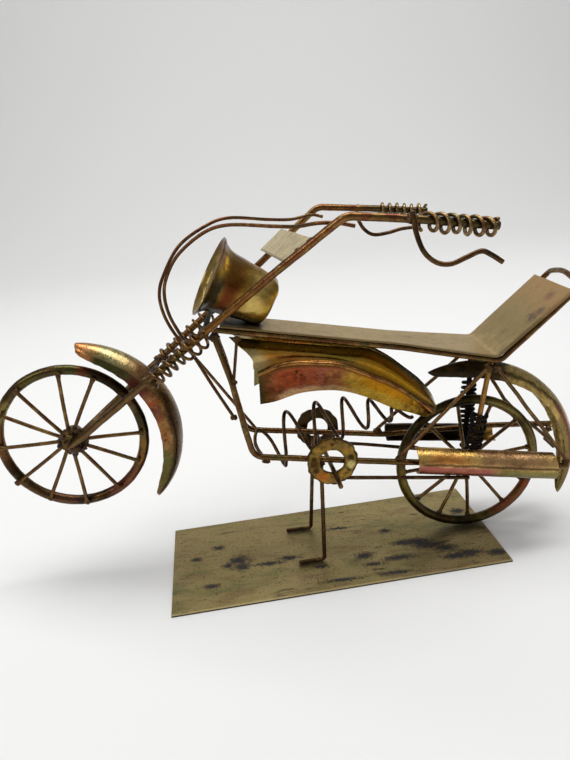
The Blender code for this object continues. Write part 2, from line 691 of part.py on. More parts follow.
def main():
    clear_scene()
    group = new_collection("brass_wire_motorcycle")
    new_collection("joining_shapes")
    wire_brass = brass("wire_brass", (0.30, 0.19, 0.09), 0.38)
    dark_wire = brass("dark_wire", (0.10, 0.07, 0.04), 0.45)
    sheet_brass = brass("sheet_brass", (0.36, 0.27, 0.11), 0.42)
    panel_brass = brass("panel_brass", (0.52, 0.31, 0.10), 0.32)
    plate_brass = brass("plate_brass", (0.33, 0.26, 0.13), 0.5)

    base_plate(group, plate_brass)
    frame_wires(group, wire_brass)
    seat_rail(group, wire_brass)
    seat_strip(group, sheet_brass)
    fork_and_bars(group, wire_brass)
    fork_bars(group, wire_brass)
    fork_springs(group, dark_wire)
    grip_coils(group, wire_brass)
    levers(group, dark_wire)
    cables(group, wire_brass)
    bridge_plate(group, sheet_brass)
    headlight(group, panel_brass, sheet_brass)
    wheels(group, wire_brass, dark_wire)
    fenders(group, sheet_brass)
    fender_stay(group, dark_wire)
    exhaust_covers(group, panel_brass)
    side_panels(group, panel_brass, wire_brass)
    engine_coil(group, dark_wire)
    crank_rings(group, sheet_brass)
    footpeg_bar(group, wire_brass)
    lower_pipes(group, dark_wire)
    rear_struts(group, wire_brass)
    shocks(group, wire_brass, dark_wire)
    stand(group, wire_brass)


main()
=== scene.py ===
"""Looks of the brazed brass wire motorcycle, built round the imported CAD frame.

Every place is written in millimetres and becomes metres in piece(). The bike's middle plane is Y = 0,
+X is its rear, and the side at -Y is the near one. Each piece carries two attributes, along and across,
which say how far along its length and how far round or across it a point is, for the finishes to read.
"""
import math
import random

import bmesh
import bpy
import numpy as np
from mathutils import Matrix, Vector, noise


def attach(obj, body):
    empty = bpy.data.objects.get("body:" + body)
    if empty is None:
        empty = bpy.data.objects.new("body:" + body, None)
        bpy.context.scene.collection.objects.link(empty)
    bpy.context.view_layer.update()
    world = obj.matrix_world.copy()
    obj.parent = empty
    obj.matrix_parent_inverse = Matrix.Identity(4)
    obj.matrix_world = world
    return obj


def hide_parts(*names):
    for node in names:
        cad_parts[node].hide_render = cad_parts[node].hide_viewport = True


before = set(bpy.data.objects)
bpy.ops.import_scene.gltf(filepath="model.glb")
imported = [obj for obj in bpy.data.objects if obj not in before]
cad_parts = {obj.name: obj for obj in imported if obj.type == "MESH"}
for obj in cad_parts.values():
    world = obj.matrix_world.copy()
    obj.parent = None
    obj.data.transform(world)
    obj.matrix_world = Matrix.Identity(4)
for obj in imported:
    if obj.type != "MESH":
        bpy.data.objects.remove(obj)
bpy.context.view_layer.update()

MM = 0.001
NEAR, FAR = -1, 1
SIDES = (("near", NEAR), ("far", FAR))
GAP = 0.3                   # between pieces that touch
FRAME_WIRE, FORK_WIRE, RAIL_WIRE, LEG_WIRE = 3.2, 3.6, 2.8, 2.2
noise.seed_set(11)          # without this, noise_vector would differ from run to run


# ---- lines

def unit(v):
    return v / np.maximum(np.linalg.norm(v, axis=-1, keepdims=True), 1e-9)


def rounded(points, radius, steps=12):
    """A polyline with each inner corner replaced by a short arc."""
    points = [np.array(p, float) for p in points]
    result = [points[0]]
    for before, corner, after in zip(points, points[1:], points[2:]):
        arm_in, arm_out = unit(before - corner), unit(after - corner)
        half = math.acos(max(-1.0, min(1.0, float(arm_in @ arm_out)))) / 2
        reach = min(radius / math.tan(half), np.linalg.norm(before - corner) * 0.45,
                    np.linalg.norm(after - corner) * 0.45)
        start, end = corner + arm_in * reach, corner + arm_out * reach
        for step in range(steps + 1):
            t = step / steps
            result.append(start * (1 - t) ** 2 + corner * 2 * t * (1 - t) + end * t ** 2)
    result.append(points[-1])
    return np.array(result)


def smooth(points, per_span=10):
    """A Catmull-Rom curve through the points."""
    p = [np.array(q, float) for q in points]
    p = [p[0] * 2 - p[1], *p, p[-1] * 2 - p[-2]]
    result = []
    for a, b, c, d in zip(p, p[1:], p[2:], p[3:]):
        for step in range(per_span):
            t = step / per_span
            result.append(0.5 * (2 * b + (c - a) * t + (2 * a - 5 * b + 4 * c - d) * t ** 2
                                 + (3 * b - a - 3 * c + d) * t ** 3))
    result.append(p[-2])
    return np.array(result)


def spaced(line, step=None, count=None):
    """The same line with count points, or points about a step apart, at even shares of its length."""
    line = np.asarray(line, float)
    run = np.concatenate([[0], np.cumsum(np.linalg.norm(np.diff(line, axis=0), axis=1))])
    goal = np.linspace(0, run[-1], count or max(2, int(round(run[-1] / step))) + 1)
    return np.stack([np.interp(goal, run, line[:, k]) for k in range(3)], 1)


def on_side(points, side):
    return [np.array((x, y * side, z), float) for x, y, z in points]


def drift(points, size, seed):
    """A smooth random offset at each point, each part from -1 to 1."""
    shift = Vector((seed * 3.7, seed * 1.9, seed * 5.3))
    return np.array([noise.noise_vector(Vector(p) / size + shift) for p in points])


def coil(start, end, radius, turns, drop=(0, 0, 0), uneven=0.12, seed=0, per_turn=28, first=0.0, lean=0.0):
    """A hand-wound coil: each turn a little wider, narrower, or leaning more than the last.

    lean is how far, in millimetres, the turns' outer sides are pushed back along the coil.
    """
    start, end = np.array(start, float), np.array(end, float)
    axis = unit(end - start)
    side = unit(np.cross(axis, (0, 1, 0)))
    other = np.cross(axis, side)
    rnd = random.Random(seed)
    knots = int(turns) + 3
    wide = [1 + uneven * rnd.uniform(-1, 1) for _ in range(knots)]
    slants = [lean + radius * uneven * 1.2 * rnd.uniform(-1, 1) for _ in range(knots)]
    result = []
    for step in range(int(turns * per_turn) + 1):
        turn = step / per_turn
        share = turn / turns
        size = radius * np.interp(turn, range(knots), wide)
        slant = np.interp(turn, range(knots), slants)
        angle = 2 * math.pi * (turn + first)
        result.append(start + (end - start) * share + np.array(drop, float)
                      + (side * math.cos(angle) + other * math.sin(angle)) * size
                      - axis * slant * math.sin(angle))
    return np.array(result)


# ---- parts: verts, faces, along, across

# how a wire's end rounds off: how far out, and how wide, as shares of its radius
WIRE_END = ((0.14, 0.93), (0.22, 0.72), (0.25, 0.4))


def tube(line, radius, sides=14, step=0.9, wobble=0.0, seed=0, closed=False, flatten=None):
    """A round wire along a line. flatten(share) gives (across, thickness) scales with thickness along Y."""
    line = spaced(line, step)
    if closed:
        line = line[:-1]
    if wobble:
        line = line + wobble * drift(line, 13.0, seed + 1)
    count = len(line)
    share = np.linspace(0, 1, count)
    radii = np.full(count, radius, float) * (1 + 0.05 * drift(line, 4.0, seed + 2)[:, 0])
    tangent = unit(np.roll(line, -1, 0) - np.roll(line, 1, 0) if closed else np.gradient(line, axis=0))
    if not closed:
        caps = len(WIRE_END)
        first, last = [[line[end] + sign * tangent[end] * radius * out for out, narrow in WIRE_END]
                       for end, sign in ((0, -1), (-1, 1))]
        thin = [[radii[end] * narrow for out, narrow in WIRE_END] for end in (0, -1)]
        line = np.vstack([first[::-1], line, last])
        radii = np.concatenate([thin[0][::-1], radii, thin[1]])
        tangent = np.vstack([[tangent[0]] * caps, tangent, [tangent[-1]] * caps])
        share = np.concatenate([[0] * caps, share, [1] * caps])
    count = len(line)
    guide = np.array((0, 1, 0)) if flatten or abs(tangent[0][1]) < 0.9 else np.array((1, 0, 0))
    normal = unit(guide - tangent[0] * (guide @ tangent[0]))
    normals = []
    for t in tangent:
        base = np.array((0, 1, 0.0)) if flatten else normal
        normal = unit(base - t * (base @ t))
        normals.append(normal)
    normals = np.array(normals)
    binormals = np.cross(tangent, normals)
    angle = 2 * math.pi * np.arange(sides) / sides
    scale = np.array([flatten(s) for s in share]) if flatten else np.ones((count, 2))
    verts = (line[:, None, :]
             + (radii * scale[:, 1])[:, None, None] * np.cos(angle)[None, :, None] * normals[:, None, :]
             + (radii * scale[:, 0])[:, None, None] * np.sin(angle)[None, :, None] * binormals[:, None, :])
    faces = []
    for ring in range(count if closed else count - 1):
        a, b = ring * sides, (ring + 1) % count * sides
        faces += [(a + k, a + (k + 1) % sides, b + (k + 1) % sides, b + k) for k in range(sides)]
    if not closed:
        faces += [tuple(range(sides))[::-1], tuple(range((count - 1) * sides, count * sides))]
    return (verts.reshape(-1, 3), faces, np.repeat(share, sides),
            np.tile(np.abs(np.arange(sides) / sides * 2 - 1), count))


def ball(level):
    shape = bmesh.new()
    bmesh.ops.create_icosphere(shape, subdivisions=level, radius=1.0)
    verts = np.array([v.co for v in shape.verts])
    faces = [tuple(v.index for v in f.verts) for f in shape.faces]
    shape.free()
    return verts, faces


BALL = ball(3)


def blob(centre, size, seed=0, rough=0.3, turn=0.0):
    """A lump of solder: size is its three half sizes, or one; turn is its tilt about Y in degrees."""
    verts, faces = BALL
    size = np.ones(3) * size
    shift = Vector((seed * 2.3, seed * 4.1, seed * 1.7))
    swell = np.array([1 + rough * noise.noise(Vector(v) * 1.6 + shift)
                      + 0.3 * rough * noise.noise(Vector(v) * 4.5 + shift) for v in verts])
    verts = verts * swell[:, None] * size
    c, s = math.cos(math.radians(turn)), math.sin(math.radians(turn))
    verts = verts @ np.array(((c, 0, s), (0, 1, 0), (-s, 0, c))) + np.array(centre, float)
    return verts, faces, np.zeros(len(verts)), np.zeros(len(verts))


def sheet(grid, thickness=0.7):
    """A sheet through a grid of points, thickened evenly on both faces."""
    grid = np.asarray(grid, float)
    rows, columns = grid.shape[:2]
    normal = unit(np.cross(np.gradient(grid, axis=0), np.gradient(grid, axis=1)))
    verts = np.concatenate([(grid + normal * thickness / 2).reshape(-1, 3),
                            (grid - normal * thickness / 2).reshape(-1, 3)])
    under = rows * columns
    faces = []
    for r in range(rows - 1):
        for c in range(columns - 1):
            a = r * columns + c
            quad = (a, a + 1, a + columns + 1, a + columns)
            faces += [quad, tuple(under + k for k in quad[::-1])]
    border = ([c for c in range(columns)] + [r * columns + columns - 1 for r in range(1, rows)]
              + [(rows - 1) * columns + c for c in range(columns - 2, -1, -1)]
              + [r * columns for r in range(rows - 2, 0, -1)])
    faces += [(a, b, under + b, under + a) for a, b in zip(border, border[1:] + border[:1])]
    along = np.repeat(np.linspace(0, 1, rows), columns)
    across = np.tile(np.linspace(0, 1, columns), rows)
    return verts, faces, np.tile(along, 2), np.tile(across, 2)


def spun(profile, steps, direction, location, dents=0.0, dent_size=5.0, seed=0):
    """A closed profile of (radius, height) spun round a direction through a place."""
    profile = np.array(profile, float)
    count = len(profile)
    angle = 2 * math.pi * np.arange(steps) / steps
    verts = np.stack([profile[:, 0][:, None] * np.cos(angle), profile[:, 0][:, None] * np.sin(angle),
                      np.repeat(profile[:, 1][:, None], steps, 1)], -1).reshape(-1, 3)
    if dents:
        push = np.array([noise.noise(Vector(v) / dent_size + Vector((seed, 0, seed))) for v in verts])
        verts = verts * (1 + dents * push[:, None] / np.maximum(np.abs(verts[:, :2]).max(), 1))
    turn = np.array(Vector(direction).to_track_quat("Z", "Y").to_matrix())
    verts = verts @ turn.T + np.array(location, float)
    faces = []
    for ring in range(count):
        a, b = ring * steps, (ring + 1) % count * steps
        faces += [(a + k, a + (k + 1) % steps, b + (k + 1) % steps, b + k) for k in range(steps)]
    return verts, faces, np.repeat(np.arange(count) / count, steps), np.tile(angle / 2 / math.pi, count)


def piece(name, parts, finish, body="frame", replaces=(), sharp=45):
    """One visible piece made of parts, riding on a body."""
    parts = parts if isinstance(parts, list) else [parts]
    verts, faces, base = [], [], 0
    for part in parts:
        verts.append(part[0])
        faces += [tuple(base + k for k in face) for face in part[1]]
        base += len(part[0])
    mesh = bpy.data.meshes.new(name)
    mesh.from_pydata((np.concatenate(verts) * MM).tolist(), [], faces)
    for key, index in (("along", 2), ("across", 3)):
        values = np.concatenate([part[index] for part in parts]).astype(np.float32)
        mesh.attributes.new(key, "FLOAT", "POINT").data.foreach_set("value", values)
    shape = bmesh.new()
    shape.from_mesh(mesh)
    bmesh.ops.remove_doubles(shape, verts=shape.verts, dist=1e-6)
    bmesh.ops.recalc_face_normals(shape, faces=shape.faces)
    shape.to_mesh(mesh)
    shape.free()
    mesh.shade_smooth()
    mesh.set_sharp_from_angle(angle=math.radians(sharp))
    mesh.materials.append(finish.material)
    obj = bpy.data.objects.new(name, mesh)
    bpy.context.scene.collection.objects.link(obj)
    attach(obj, body)
    if replaces:
        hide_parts(*replaces)


def stand_for(name, parts, finish, body="frame", sharp=45):
    """A piece in the place of the CAD node of the same name."""
    piece(name + "_look", parts, finish, body, [name], sharp)


def wire(name, line, diameter, finish, slot, **settings):
    stand_for(name, tube(line, diameter / 2, seed=len(name) + diameter, **settings), finish)


# ---- finishes

def ink(red, green, blue):
    """A colour given on the 0 to 255 screen scale, as linear light."""
    def part(value):
        value = value / 255
        return value / 12.92 if value <= 0.04045 else ((value + 0.055) / 1.055) ** 2.4
    return (part(red), part(green), part(blue), 1.0)


OLIVE = (134, 118, 70)
TAN = (176, 156, 118)
BROWN = (92, 62, 34)
DARK = (40, 31, 20)
BLACK = (20, 16, 12)
INDIGO = (44, 46, 66)


ALL = (0, 1)                # the whole way along or across a piece


class Finish:
    """A brass finish made of layers of paint, each laid on through a mask."""

    def __init__(self, name, colour, rough=0.36, spread=0.12, bump=0.35, grain=0.5, metallic=1.0):
        self.material = bpy.data.materials.new(name)
        self.material.use_nodes = True
        self.tree = self.material.node_tree
        self.shader = self.tree.nodes["Principled BSDF"]
        self.shader.inputs["Specular IOR Level"].default_value = 0.1
        self.metal = metallic
        self.colour = ink(*colour)
        self.place = self.vector("SCALE", self.add("TexCoord").outputs["Object"], scale=1 / MM)
        self.rough, self.spread, self.bump, self.grain = rough, spread, bump, grain

    def add(self, kind, values=None, **settings):
        """A shader node: settings are its own, values go to its sockets by name or number."""
        node = self.tree.nodes.new("ShaderNode" + kind)
        for key, value in settings.items():
            setattr(node, key, value)
        for key, value in (values or {}).items():
            self.link(value, node.inputs[key])
        return node

    def link(self, value, socket):
        if isinstance(value, bpy.types.NodeSocket):
            self.tree.links.new(value, socket)
        else:
            socket.default_value = value

    def vector(self, operation, *values, scale=1.0):
        node = self.add("VectorMath", {**dict(enumerate(values)), 3: scale}, operation=operation)
        return node.outputs["Value" if operation in ("DISTANCE", "DOT_PRODUCT") else "Vector"]

    def maths(self, operation, a, b, clamp=False):
        return self.add("Math", {0: a, 1: b}, operation=operation, use_clamp=clamp).outputs[0]

    def level(self, direction):
        """How far along a direction a point is, in millimetres."""
        return self.vector("DOT_PRODUCT", self.place, direction)

    def own(self, name):
        return self.add("Attribute", attribute_name=name).outputs["Fac"]

    def noise(self, size, seed=0, detail=3.0, stretch=(1, 1, 1)):
        """Noise from 0 to 1 with features about size millimetres across."""
        where = self.vector("MULTIPLY_ADD", self.place, tuple(1 / (size * s) for s in stretch),
                            (seed * 7.1, seed * 3.3, seed * 5.7))
        return self.add("TexNoise", {"Vector": where, "Scale": 1.0, "Detail": detail, "Roughness": 0.6,
                                     "Distortion": 0.0}).outputs["Fac"]

    def remap(self, value, low, high, start, end, kind="LINEAR"):
        """low to high becomes start to end."""
        return self.add("MapRange", {"Value": value, "From Min": low, "From Max": high, "To Min": start,
                                     "To Max": end}, interpolation_type=kind).outputs["Result"]

    def band(self, value, low, high):
        """0 up to low, 1 from high on; the other way round where low is above high."""
        ends = (0.0, 1.0) if low < high else (1.0, 0.0)
        return self.remap(value, min(low, high), max(low, high), *ends, "SMOOTHSTEP")

    def both(self, *masks):
        result = masks[0]
        for mask in masks[1:]:
            result = self.maths("MULTIPLY", result, mask)
        return result

    def ragged(self, value, size, amount, seed=0):
        """A value pushed up and down by noise."""
        push = self.maths("MULTIPLY", self.maths("SUBTRACT", self.noise(size, seed, 4.0), 0.5), amount)
        return self.maths("ADD", value, push)

    def around(self, centre, radius, seed=0, uneven=0.8, stretch=(1, 1, 1)):
        """1 near a place, 0 further off than radius millimetres, with a ragged edge."""
        place, centre = self.place, tuple(float(c) / s for c, s in zip(centre, stretch))
        if stretch != (1, 1, 1):
            place = self.vector("MULTIPLY", place, tuple(1 / s for s in stretch))
        distance = self.vector("DISTANCE", place, centre)
        return self.band(self.ragged(distance, max(1.5, radius * 0.5), radius * uneven, seed),
                         radius, radius * 0.35)

    def zone(self, along=ALL, across=ALL, seed=0, soft=0.07, uneven=0.25):
        """1 inside a range along and across the piece, with soft, ragged edges."""
        masks = []
        for name, (low, high) in (("along", along), ("across", across)):
            if low <= 0 and high >= 1:
                continue
            value = self.ragged(self.own(name), 5.0, uneven, seed)
            if low > 0:
                masks.append(self.band(value, low - soft, low + soft))
            if high < 1:
                masks.append(self.band(value, high + soft, high - soft))
            seed += 3
        return self.both(*masks) if masks else 1.0

    def paint(self, colour, mask, amount=1.0):
        share = self.maths("MULTIPLY", mask, amount, clamp=True)
        node = self.add("Mix", {0: share, 6: self.colour, 7: ink(*colour)}, data_type="RGBA")
        self.colour = node.outputs[2]
        return self

    def zones(self, *rows):
        """Paint laid on in turn; a row is a colour, its amount, and what zone() takes."""
        for colour, amount, *where in rows:
            self.paint(colour, self.zone(*where), amount)

    def spots(self, rows, seed, amount):
        """Small marks; a row is a place, a radius and a colour."""
        for place, radius, colour in rows:
            self.paint(colour, self.around(place, radius, seed), amount)

    def dull(self, colour, mask, amount=0.9):
        """A dark coat that covers the bare metal: tarnish in some places, painted shade in others."""
        bare = self.maths("SUBTRACT", 1.0, self.maths("MULTIPLY", mask, amount, clamp=True))
        self.metal = self.maths("MULTIPLY", self.metal, bare)
        return self.paint(colour, mask, amount)

    def blotches(self, colour, size, amount=0.7, cover=0.5, seed=0, edge=0.08, **noise_settings):
        """Patches of colour; cover is the share of the surface that they take."""
        level = 0.5 + (0.5 - cover) * 0.42
        mask = self.band(self.noise(size, seed, **noise_settings), level - edge, level + edge)
        return self.paint(colour, mask, amount)

    def specks(self, colour, size=0.7, amount=0.8, cover=0.1, seed=0):
        return self.blotches(colour, size, amount, cover, seed, edge=0.03, detail=1.0)

    def done(self, shade_and_grime=0.85, reach=0.008):
        """Painted shade and grime, darker where surfaces meet; then colour, roughness and bump go to the
        shader.
        """
        # painted shade: ambient occlusion darkens corners and contact points, standing for contact shadow as
        # well as grime
        corner = self.add("AmbientOcclusion", {"Distance": reach}, samples=4).outputs["AO"]
        self.dull((24, 18, 11), self.band(corner, 0.62, 0.12), shade_and_grime)
        rough = self.remap(self.noise(2.4, 21, 5.0), 0.3, 0.7,
                           self.rough - self.spread, self.rough + self.spread)
        height = self.maths("ADD", self.maths("MULTIPLY", self.noise(0.45, 31, 2.0), self.grain),
                            self.noise(3.2, 33, 3.0))
        bump = self.add("Bump", {"Strength": self.bump, "Distance": 0.0004, "Height": height})
        for key, value in (("Base Color", self.colour), ("Metallic", self.metal), ("Roughness", rough),
                           ("Normal", bump.outputs["Normal"])):
            self.link(value, self.shader.inputs[key])
        return self


def aged(finish, seed=0, dark=0.5):
    """What every surface of the object shows: tarnish patches, dark flecks, small dark specks."""
    finish.blotches(BROWN, 7.0, 0.8 * dark, 0.42, seed + 1, edge=0.12)
    finish.blotches(DARK, 2.6, dark, 0.16, seed + 2, edge=0.06, detail=5.0)
    finish.blotches(BLACK, 1.3, 0.75, 0.05, seed + 3, edge=0.03, detail=3.0)
    return finish


def bronze_wire(name, seed=0, colour=(106, 79, 46)):
    finish = Finish(name, colour, rough=0.27, spread=0.09, bump=0.35)
    finish.blotches((146, 116, 66), 8.0, 0.7, 0.32, seed + 4, edge=0.1)
    finish.blotches((98, 54, 34), 6.0, 0.75, 0.35, seed + 5, edge=0.1)
    finish.blotches((88, 80, 46), 11.0, 0.7, 0.32, seed + 6, edge=0.08)
    return aged(finish, seed, 0.45)


def dark_wire(name, seed=0):
    finish = Finish(name, (82, 60, 38), rough=0.3, spread=0.1, bump=0.35)
    finish.blotches((124, 96, 60), 6.0, 0.7, 0.3, seed + 4, edge=0.1)
    finish.blotches((44, 36, 28), 4.0, 0.75, 0.35, seed + 5, edge=0.1)
    return aged(finish, seed, 0.5)


# ---- base, frame, seat

PLATE_LENGTH, PLATE_WIDTH, PLATE_THICK, PLATE_YAW, PLATE_CENTRE_Y = 177.0, 77.0, 1.0, 3.9, -5.0

# stains that stand out on the plate: place, half size and stretch along it
PLATE_STAINS = [((-52, -10), 3.6, 1.5), ((-58, -14), 2.2, 1.4), ((16, -19), 2.8, 1.7), ((40, -11), 2.4, 2.6),
                ((53, -16), 2.6, 3.0), ((61, -20), 2.4, 2.2), ((72, -27), 3.0, 1.9), ((86, -29), 2.8, 1.8),
                ((78, 14), 2.6, 1.5), ((-76, -5), 1.8, 1.6), ((-36, -16), 1.6, 4.5), ((-24, -13), 1.8, 3.0),
                ((32, 2), 1.8, 1.6), ((-64, 4), 2.0, 1.5), ((-66, -30), 1.8, 2.0), ((20, -27), 1.5, 3.5),
                ((2, -37), 1.5, 6.0), ((30, -36), 1.4, 6.0), ((-50, -16), 3.0, 1.3), ((48, -12), 3.2, 2.0),
                ((64, -28), 2.4, 3.0), ((34, -24), 2.0, 4.0), ((-8, -24), 1.4, 3.0), ((6, 10), 1.3, 5.0)]


def base_plate():
    f = Finish("plate_brass", (158, 142, 94), rough=0.44, spread=0.12, bump=0.25, grain=0.8)
    f.blotches((172, 152, 108), 30.0, 0.7, 0.45, 1, edge=0.15)
    f.blotches((132, 122, 76), 14.0, 0.6, 0.4, 2, edge=0.12, stretch=(2.5, 1, 1))
    f.blotches((126, 96, 70), 7.0, 0.5, 0.3, 3, edge=0.08, stretch=(3, 1, 1), detail=5.0)
    f.blotches((96, 104, 66), 9.0, 0.5, 0.25, 9, edge=0.08, stretch=(3, 1, 1))
    f.blotches((52, 44, 38), 3.2, 0.85, 0.1, 5, edge=0.04, stretch=(3.2, 1, 1), detail=5.0)
    f.zones(((136, 120, 80), 0.45, (0, 0.42), (0.4, 1), 4, 0.2))
    for index, ((x, y), radius, long) in enumerate(PLATE_STAINS):
        halo = f.around((x, y, 1), radius * 1.7, index, 2.2, (long, 1, 1))
        f.paint((78, 58, 46), halo, 0.65)
        f.dull((40, 44, 48), f.around((x, y, 1), radius * 1.2, index, 2.0, (long, 1, 1)))
    f.blotches((58, 48, 38), 1.6, 0.7, 0.12, 12, edge=0.03, stretch=(7, 1, 1), detail=5.0)
    f.blotches((70, 72, 52), 6.0, 0.7, 0.12, 14, edge=0.05, stretch=(5, 1, 1), detail=5.0)
    f.specks(BLACK, 0.9, 0.8, 0.08, 6)
    f.zones(((206, 186, 136), 0.7, ALL, (0, 0.012), 0, 0.006, 0.0))
    # painted shade: the plate's edge darker towards its bottom, and its underside dark
    f.paint((36, 30, 22), f.band(f.level((0, 0, 1)), 0.9, 0.6), 0.9)
    f.done(shade_and_grime=0.9)
    rows, columns = 96, 42
    grid = np.zeros((rows, columns, 3))
    yaw = math.radians(PLATE_YAW)
    for r in range(rows):
        for c in range(columns):
            x = PLATE_LENGTH * (r / (rows - 1) - 0.5)
            y = PLATE_WIDTH * (c / (columns - 1) - 0.5)
            lift = 0.12 * noise.noise(Vector((x / 30, y / 24, 2.0)))
            grid[r, c] = (x * math.cos(yaw) - y * math.sin(yaw),
                          PLATE_CENTRE_Y + x * math.sin(yaw) + y * math.cos(yaw),
                          PLATE_THICK / 2 + min(0.0, lift))
    plate = sheet(grid, PLATE_THICK)
    plate[0][:, 2] = np.maximum(plate[0][:, 2], 0.0)
    stand_for("base_plate", plate, f)


def strip_height(x):
    return 125.15 - 0.206 * x


STRIP_FRONT_X, STRIP_KINK_X, STRIP_BEND_X = -46.5, 42.0, 87.5
BACKREST_TOP = (122.8, 136.8)
RAIL_HALF = 17.4
SEAT_FRONT_HALF, SEAT_REAR_HALF, BACKREST_HALF = 12.5, 20.5, 21.5


def frame_wires(finish):
    paths = {"near": [(-49.6, 11.2, 130.2), (-43.4, 14.8, 105.5), (-39.9, RAIL_HALF, 83.0),
                      (-37.2, RAIL_HALF, 66.9), (36.0, RAIL_HALF, 54.9), (127.0, RAIL_HALF, 41.2)],
             "far": [(-51.4, 10.8, 130.2), (-47.4, 12.2, 110.7), (-44.3, 16.4, 89.5),
                     (-41.0, RAIL_HALF, 67.0), (36.0, RAIL_HALF, 54.9), (96.0, RAIL_HALF, 53.4),
                     (133.5, RAIL_HALF, 50.0)]}
    for name, side in SIDES:
        wire("frame_wire_" + name, rounded(on_side(paths[name], side), 8.0), FRAME_WIRE, finish,
             "bronze_wire", sides=18, wobble=0.18)


def seat_rail(finish):
    drop = 0.35 + RAIL_WIRE / 2 + GAP       # from the strip's middle to the rail's axis
    half = [(STRIP_FRONT_X - 1.5, SEAT_FRONT_HALF - 1.3, strip_height(STRIP_FRONT_X - 1.5) - drop),
            (STRIP_KINK_X, SEAT_FRONT_HALF - 1.0, strip_height(STRIP_KINK_X) - drop),
            (STRIP_BEND_X + 1.2, SEAT_REAR_HALF - 1.6, strip_height(STRIP_BEND_X) - drop - 0.3),
            (123.6, BACKREST_HALF - 4.0, 134.2)]
    lower = rounded(on_side(half, NEAR), 6.0)
    rise = [half[-1], (126.4, 15.2, 138.2), (127.0, 11.0, 140.6)]
    arch = smooth(on_side(rise, NEAR) + [np.array((127.2, 0.0, 142.2))] + on_side(rise[::-1], FAR), 8)
    upper = rounded(on_side(half, FAR), 6.0)
    wire("seat_rail", np.vstack([lower[:-1], arch, upper[-2::-1]]), RAIL_WIRE, finish, "bronze_wire",
         sides=16, wobble=0.12)


def seat_strip():
    f = Finish("seat_brass", (184, 161, 112), rough=0.44, spread=0.1, bump=0.22, grain=0.8)
    f.blotches((168, 146, 98), 16.0, 0.7, 0.5, 1, edge=0.14, stretch=(2, 1, 1))
    f.blotches((196, 168, 128), 9.0, 0.5, 0.35, 2, edge=0.12)
    f.blotches((150, 132, 88), 4.0, 0.4, 0.3, 3, edge=0.1, detail=5.0)
    f.specks(BROWN, 0.6, 0.6, 0.1, 6)
    f.zones(((148, 128, 84), 0.6, (0.78, 1), ALL, 10, 0.04))
    for place, radius in (((94.0, -9.0, 110.0), 2.2), ((97.5, -4.0, 113.5), 2.6),
                          ((108.0, -13.0, 122.8), 4.6), ((111.0, -14.5, 125.6), 3.6),
                          ((117.0, -9.0, 131.5), 3.6), ((119.0, 8.0, 133.0), 1.6)):
        f.paint((110, 84, 64), f.around(place, radius * 1.3, 4, 1.8), 0.6)
        f.dull((62, 62, 60), f.around(place, radius, 4, 1.8))
    # painted shadow of the headlight cup on the seat strip's front end
    for place, radius in (((-36.0, -1.0, 132.6), 7.5), ((-29.0, -4.0, 131.0), 5.0),
                          ((-43.0, -5.0, 134.0), 5.0)):
        f.dull((36, 28, 18), f.around(place, radius, 7, 0.9))
    f.zones(((92, 70, 38), 0.7, ALL, (0, 0.05), 9, 0.03, 0.05))
    f.blotches((112, 88, 56), 5.0, 0.5, 0.14, 11, edge=0.05, stretch=(4, 1, 1), detail=5.0)
    f.zones(((206, 150, 100), 0.35, (0.93, 1), ALL, 8))
    f.done()
    bend_z = strip_height(STRIP_BEND_X)
    top_x, top_z = BACKREST_TOP
    stations = np.array([(STRIP_FRONT_X, strip_height(STRIP_FRONT_X), SEAT_FRONT_HALF),
                         (0.0, strip_height(0.0), SEAT_FRONT_HALF),
                         (STRIP_KINK_X - 3, strip_height(STRIP_KINK_X - 3), SEAT_FRONT_HALF + 0.1),
                         (STRIP_KINK_X + 3, strip_height(STRIP_KINK_X + 3), SEAT_FRONT_HALF + 0.9),
                         (STRIP_BEND_X - 2.2, bend_z + 0.41, SEAT_REAR_HALF - 0.3),
                         (STRIP_BEND_X - 0.4, bend_z + 0.45, SEAT_REAR_HALF),
                         (STRIP_BEND_X + 0.5, bend_z + 0.85, SEAT_REAR_HALF),
                         (STRIP_BEND_X + 1.2, bend_z + 1.5, SEAT_REAR_HALF),
                         (top_x, top_z, BACKREST_HALF)])
    line = spaced(stations[:, [0, 2, 1]], 1.2)
    columns = 25
    grid = np.zeros((len(line), columns, 3))
    for r, (x, width, z) in enumerate(line):
        for c in range(columns):
            across = 2 * c / (columns - 1) - 1
            wave = 0.14 * noise.noise(Vector((x / 18, across * 1.4, 5.0)))
            grid[r, c] = (x, width * across, z + wave)
    stand_for("seat_strip", sheet(grid, 0.8), f, sharp=30)


# ---- fork, handlebars, controls

FORK_PATHS = {NEAR: [(-129.6, 9.8, 79.4), (-21.0, 38.6, 161.1), (12.0, 47.0, 184.3),
                     (42.0, 49.0, 180.2), (73.5, 51.0, 174.8)],
              FAR: [(-132.5, 9.8, 75.2), (-22.0, 35.6, 156.4), (10.4, 43.5, 181.2),
                    (43.4, 45.0, 177.0), (71.0, 46.6, 173.3)]}


def leg_point(x, side):
    """The place on a fork leg's axis at a given x."""
    path = [np.array(p, float) for p in FORK_PATHS[side][:3]]
    low, high = path[:2] if x < path[1][0] else path[1:]
    return (low + (high - low) * (x - low[0]) / (high[0] - low[0])) * np.array((1, side, 1))


def fork():
    f = bronze_wire("fork_brass", 3)
    f.zones(((96, 76, 50), 0.5, (0.02, 0.32), ALL, 3),
            ((130, 84, 36), 0.5, (0.36, 0.58), ALL, 6),
            ((158, 116, 66), 0.6, (0.62, 0.76), ALL, 7))
    f.paint((92, 40, 34), f.both(f.zone((0.5, 0.92), seed=4), f.band(f.noise(4.0, 8), 0.46, 0.6)), 0.6)
    f.zones(((74, 66, 40), 0.75, (0.86, 1), ALL, 5, 0.02, 0.03))
    f.done()
    for name, side in SIDES:
        wire("fork_wire_" + name, rounded(on_side(FORK_PATHS[side], side), 9.0), FORK_WIRE, f,
             "bronze_wire", sides=20, wobble=0.15)


